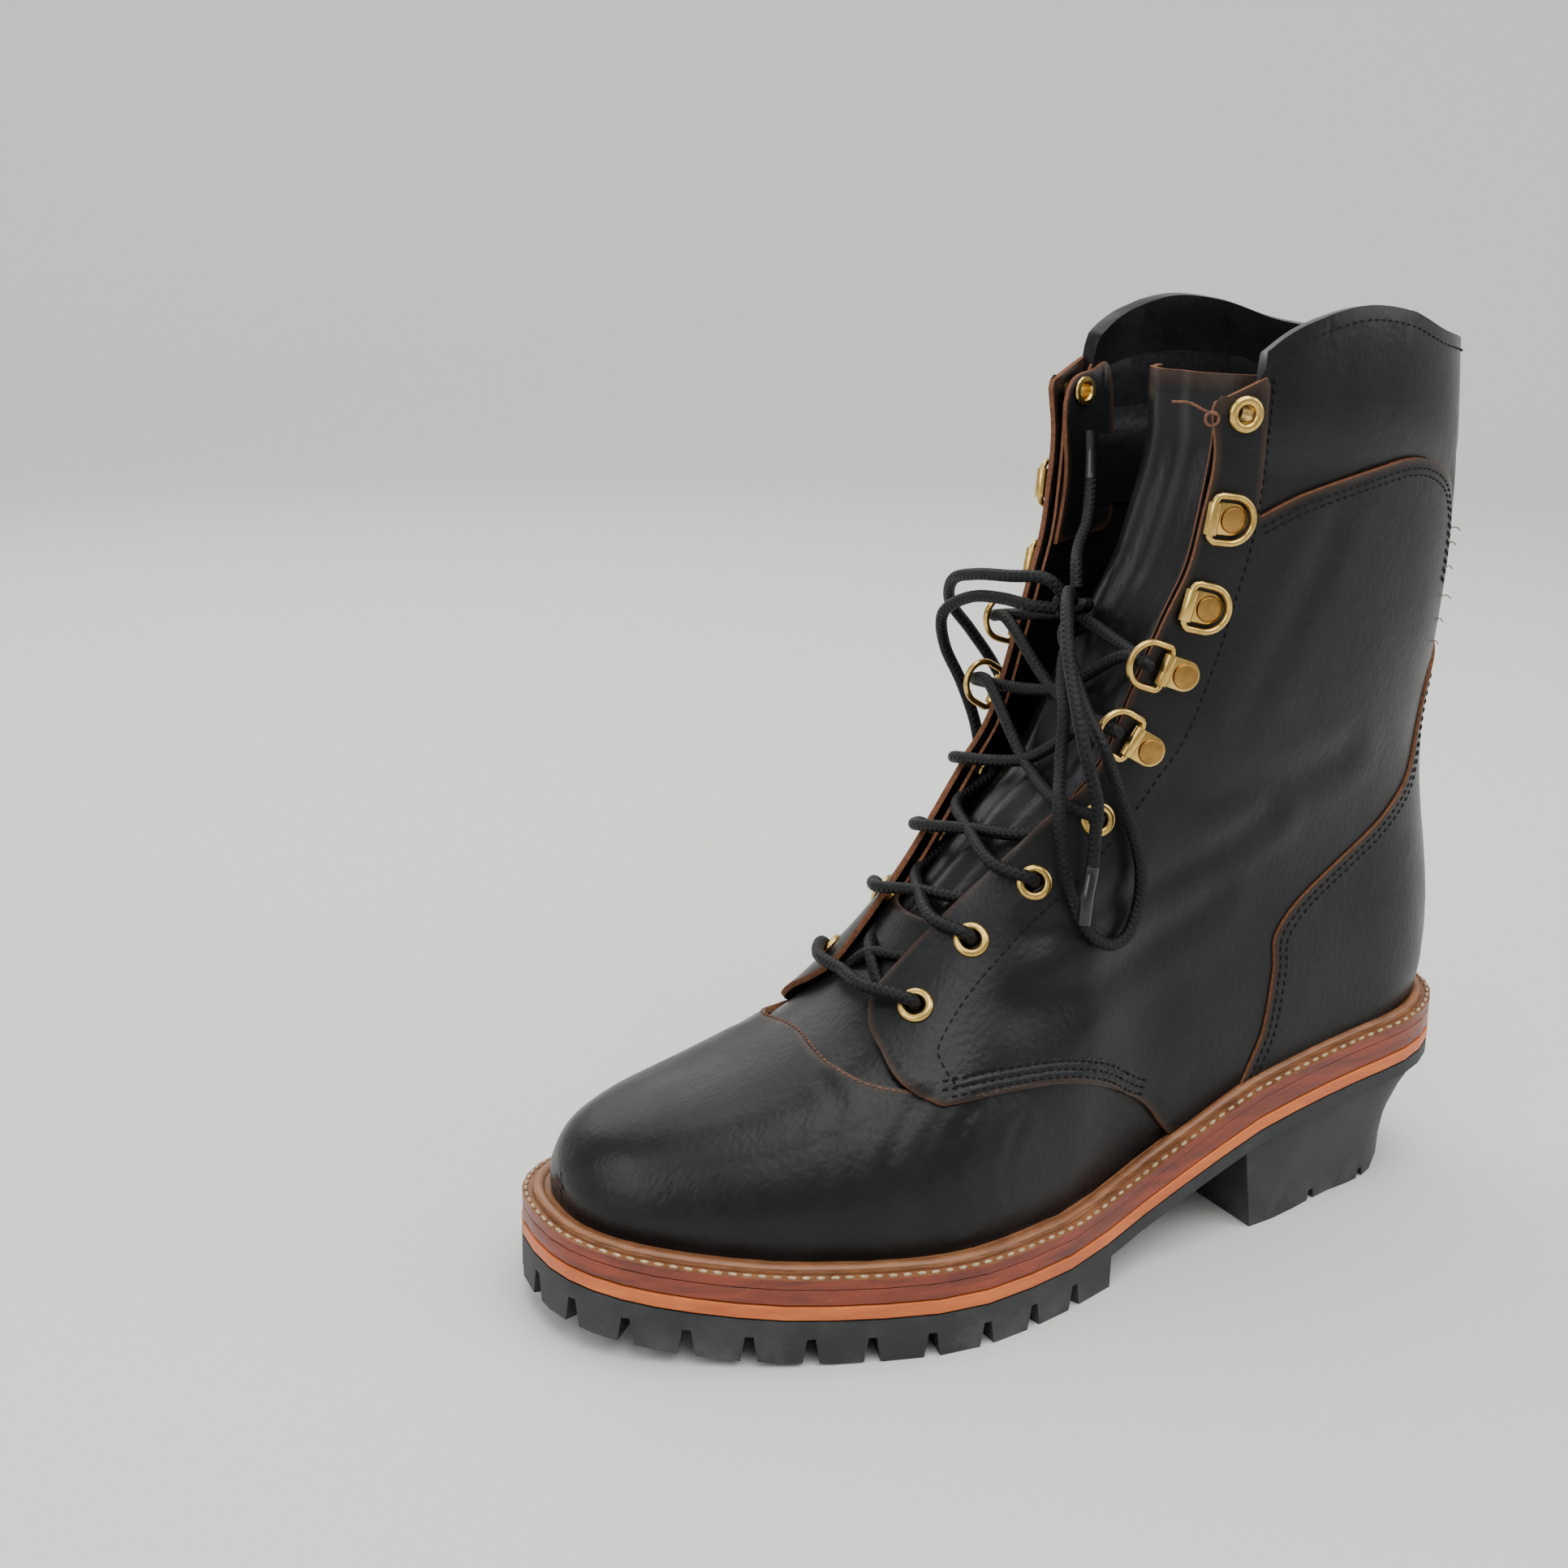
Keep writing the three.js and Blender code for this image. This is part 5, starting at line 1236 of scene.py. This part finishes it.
def clipShape():
    build = bmesh.new()
    half, base = clip["width"] / 2, clip["base"]
    around = [(half * math.cos(t), half * math.sin(t)) for t in np.linspace(math.pi / 2, 3 * math.pi / 2, 15)]
    outline = around + [(clip["length"], -half), (clip["length"], half)]
    face = build.faces.new([build.verts.new((x, y, base)) for x, y in outline])
    raised = bmesh.ops.extrude_face_region(build, geom=[face])["geom"]
    raised = [part for part in raised if isinstance(part, bmesh.types.BMVert)]
    bmesh.ops.translate(build, vec=(0, 0, clip["plate"]), verts=raised)
    softened(build, 0.25)
    tube = bmesh.new()
    hinge = Matrix.Translation((clip["length"], 0, clip["tubeBase"] + clip["tube"]))
    bmesh.ops.create_cone(
        tube, cap_ends=True, segments=24, radius1=clip["tube"], radius2=clip["tube"], depth=clip["width"],
        matrix=hinge @ Matrix.Rotation(math.pi / 2, 4, "X"),
    )
    ends = [f for f in tube.faces if len(f.verts) > 4]
    bmesh.ops.inset_individual(tube, faces=ends, thickness=clip["tubeWall"])
    for end in ends:
        bmesh.ops.translate(tube, vec=-end.normal * clip["tubeHollow"], verts=end.verts)
    softened(tube, 0.15, 50)
    rivet = bmesh.new()
    bmesh.ops.create_cone(
        rivet, cap_ends=True, segments=32, radius1=clip["rivet"], radius2=clip["rivet"] * 0.94, depth=clip["head"],
        matrix=Matrix.Translation((0, 0, base + clip["plate"] + clip["head"] / 2)),
    )
    top = [f for f in rivet.faces if len(f.verts) > 4 and f.normal.z > 0.5]
    bmesh.ops.inset_individual(rivet, faces=top, thickness=0.8)
    bmesh.ops.translate(rivet, vec=(0, 0, clip["crown"]), verts=top[0].verts)
    softened(rivet, 0.18, 30)
    for face in rivet.faces:
        face.material_index = 1
    for part in (tube, rivet):
        build.from_mesh(meshFrom("part", part))
    return build


def ringShape():
    wire, half, reach = dRing["wire"], dRing["half"], dRing["reach"]
    corner = dRing["corner"]
    bend = np.linspace(math.pi / 2, 3 * math.pi / 2, 22)
    path = [(0, -half + corner), (0, 0), (0, half - corner), (-corner * 0.4, half - corner * 0.35), (-corner, half)]
    path += [(half - reach + half * math.cos(t), half * math.sin(t)) for t in bend]
    path += [(-corner, -half), (-corner * 0.4, -half + corner * 0.35)]
    line = [Vector((x, y, 0)) for x, y in path]
    build = bmesh.new()
    count, sides = len(line), 12
    loops = []
    for i, point in enumerate(line):
        along = (line[(i + 1) % count] - line[i - 1]).normalized()
        out = Vector((along.y, -along.x, 0))
        turns = [2 * math.pi * k / sides for k in range(sides)]
        section = [point + wire * (out * math.cos(t) + Vector((0, 0, math.sin(t)))) for t in turns]
        loops.append([build.verts.new(place) for place in section])
    for i in range(count):
        for k in range(sides):
            m = (k + 1) % sides
            build.faces.new([loops[i][k], loops[i][m], loops[(i + 1) % count][m], loops[(i + 1) % count][k]])
    return build


def joinShapes(name, shapes, materials, replaces, body="boot"):
    whole = bmesh.new()
    for shape in shapes:
        whole.from_mesh(meshFrom("part", shape))
    finishObject(name, meshFrom(name, whole, 35), materials, body, replaces)


for side, name in sideNames.items():
    ending = name.capitalize()
    shapes = [placed(eyeletShape(index), index, side) for index in eyelets]
    joinShapes("eyelets" + ending, shapes, [brass], [f"eyelet_{name}_{i + 1}" for i in range(5)])
    shapes = [placed(clipShape(), index, side) for index in clips]
    joinShapes("clips" + ending, shapes, [brass, agedBrass], [f"clip_{name}_{i + 1}" for i in range(4)])
    shapes = [placed(ringShape(), index, side, dRing["pulled"]) for index in clips[:2]]
    joinShapes("pulledRings" + ending, shapes, [brass], [f"ring_{name}_1", f"ring_{name}_2"])
    for number in (3, 4):
        shapes = [placed(ringShape(), clips[number - 1], side, 0)]
        body = f"swinging_ring_{name}_{number}"
        joinShapes(f"ring{ending}{number}", shapes, [brass], [f"ring_{name}_{number}"], body)
print("brass fitted")

# Laces: each half runs from the bottom bar up to the knot, out of one eyelet and under the other flap.
def atFitting(index, side, height, forward=0.0):
    point, ahead = fittingFrame(index, side, height)[:2]
    return point + ahead * forward


def atFlap(at, side, height):
    return onLast(turned([(at, flapAlong(at))], side), height)[0]


def ringBetween(index, share):
    return fittings[index][0] + (fittings[index + 1][0] - fittings[index][0]) * share


def overThroat(index, height):
    return throatPoint(ringBetween(index, 0.5), height)[0][0]


def throughRing(index, side):
    point, forward, _, normal = fittingFrame(index, side)
    tip = clip["length"] + dRing["reach"]
    return [point + forward * (tip - 1.4) + normal * -1.2, point + forward * (tip - 5.2) + normal * 6.5]


def laceHalf(side):
    route = [
        throatPoint(0.388, 5.5)[0][0], atFlap(0.385, side, 6.0), atFitting(0, side, 4.6, 1.2), atFitting(0, side, 1.0),
        atFitting(0, side, -5.5, 0.5), atFlap(ringBetween(0, 0.2), side, -3.6), overThroat(0, 1.6),
    ]
    current = side
    for index in (1, 2, 3):
        current = -current
        route += [
            atFlap(ringBetween(index - 1, 0.78), current, -3.4), atFitting(index, current, -5.2, 0.5),
            atFitting(index, current, 1.0), atFitting(index, current, 5.0, 1.6),
            atFlap(ringBetween(index, 0.25), current, 4.5), overThroat(index, 2.4),
        ]
    knot = fromHeel(lace["knot"]) + [0.8, current * 4.2, -1.0]
    return np.array([*route, *throughRing(4, -current), overThroat(4, 3.4), *throughRing(5, current), knot])


for side, name in sideNames.items():
    name = "laceHalf" + name.capitalize()
    line = evenly(smoothLine(laceHalf(side), 1.2), 1.2)
    finishObject(name, ropeMesh(name, line, lace["radius"]), [waxedLace])
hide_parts("lace_bar", "lace_cross_1", "lace_cross_2")
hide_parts("lace_cross_3", "lace_cross_4")
print("laces threaded")
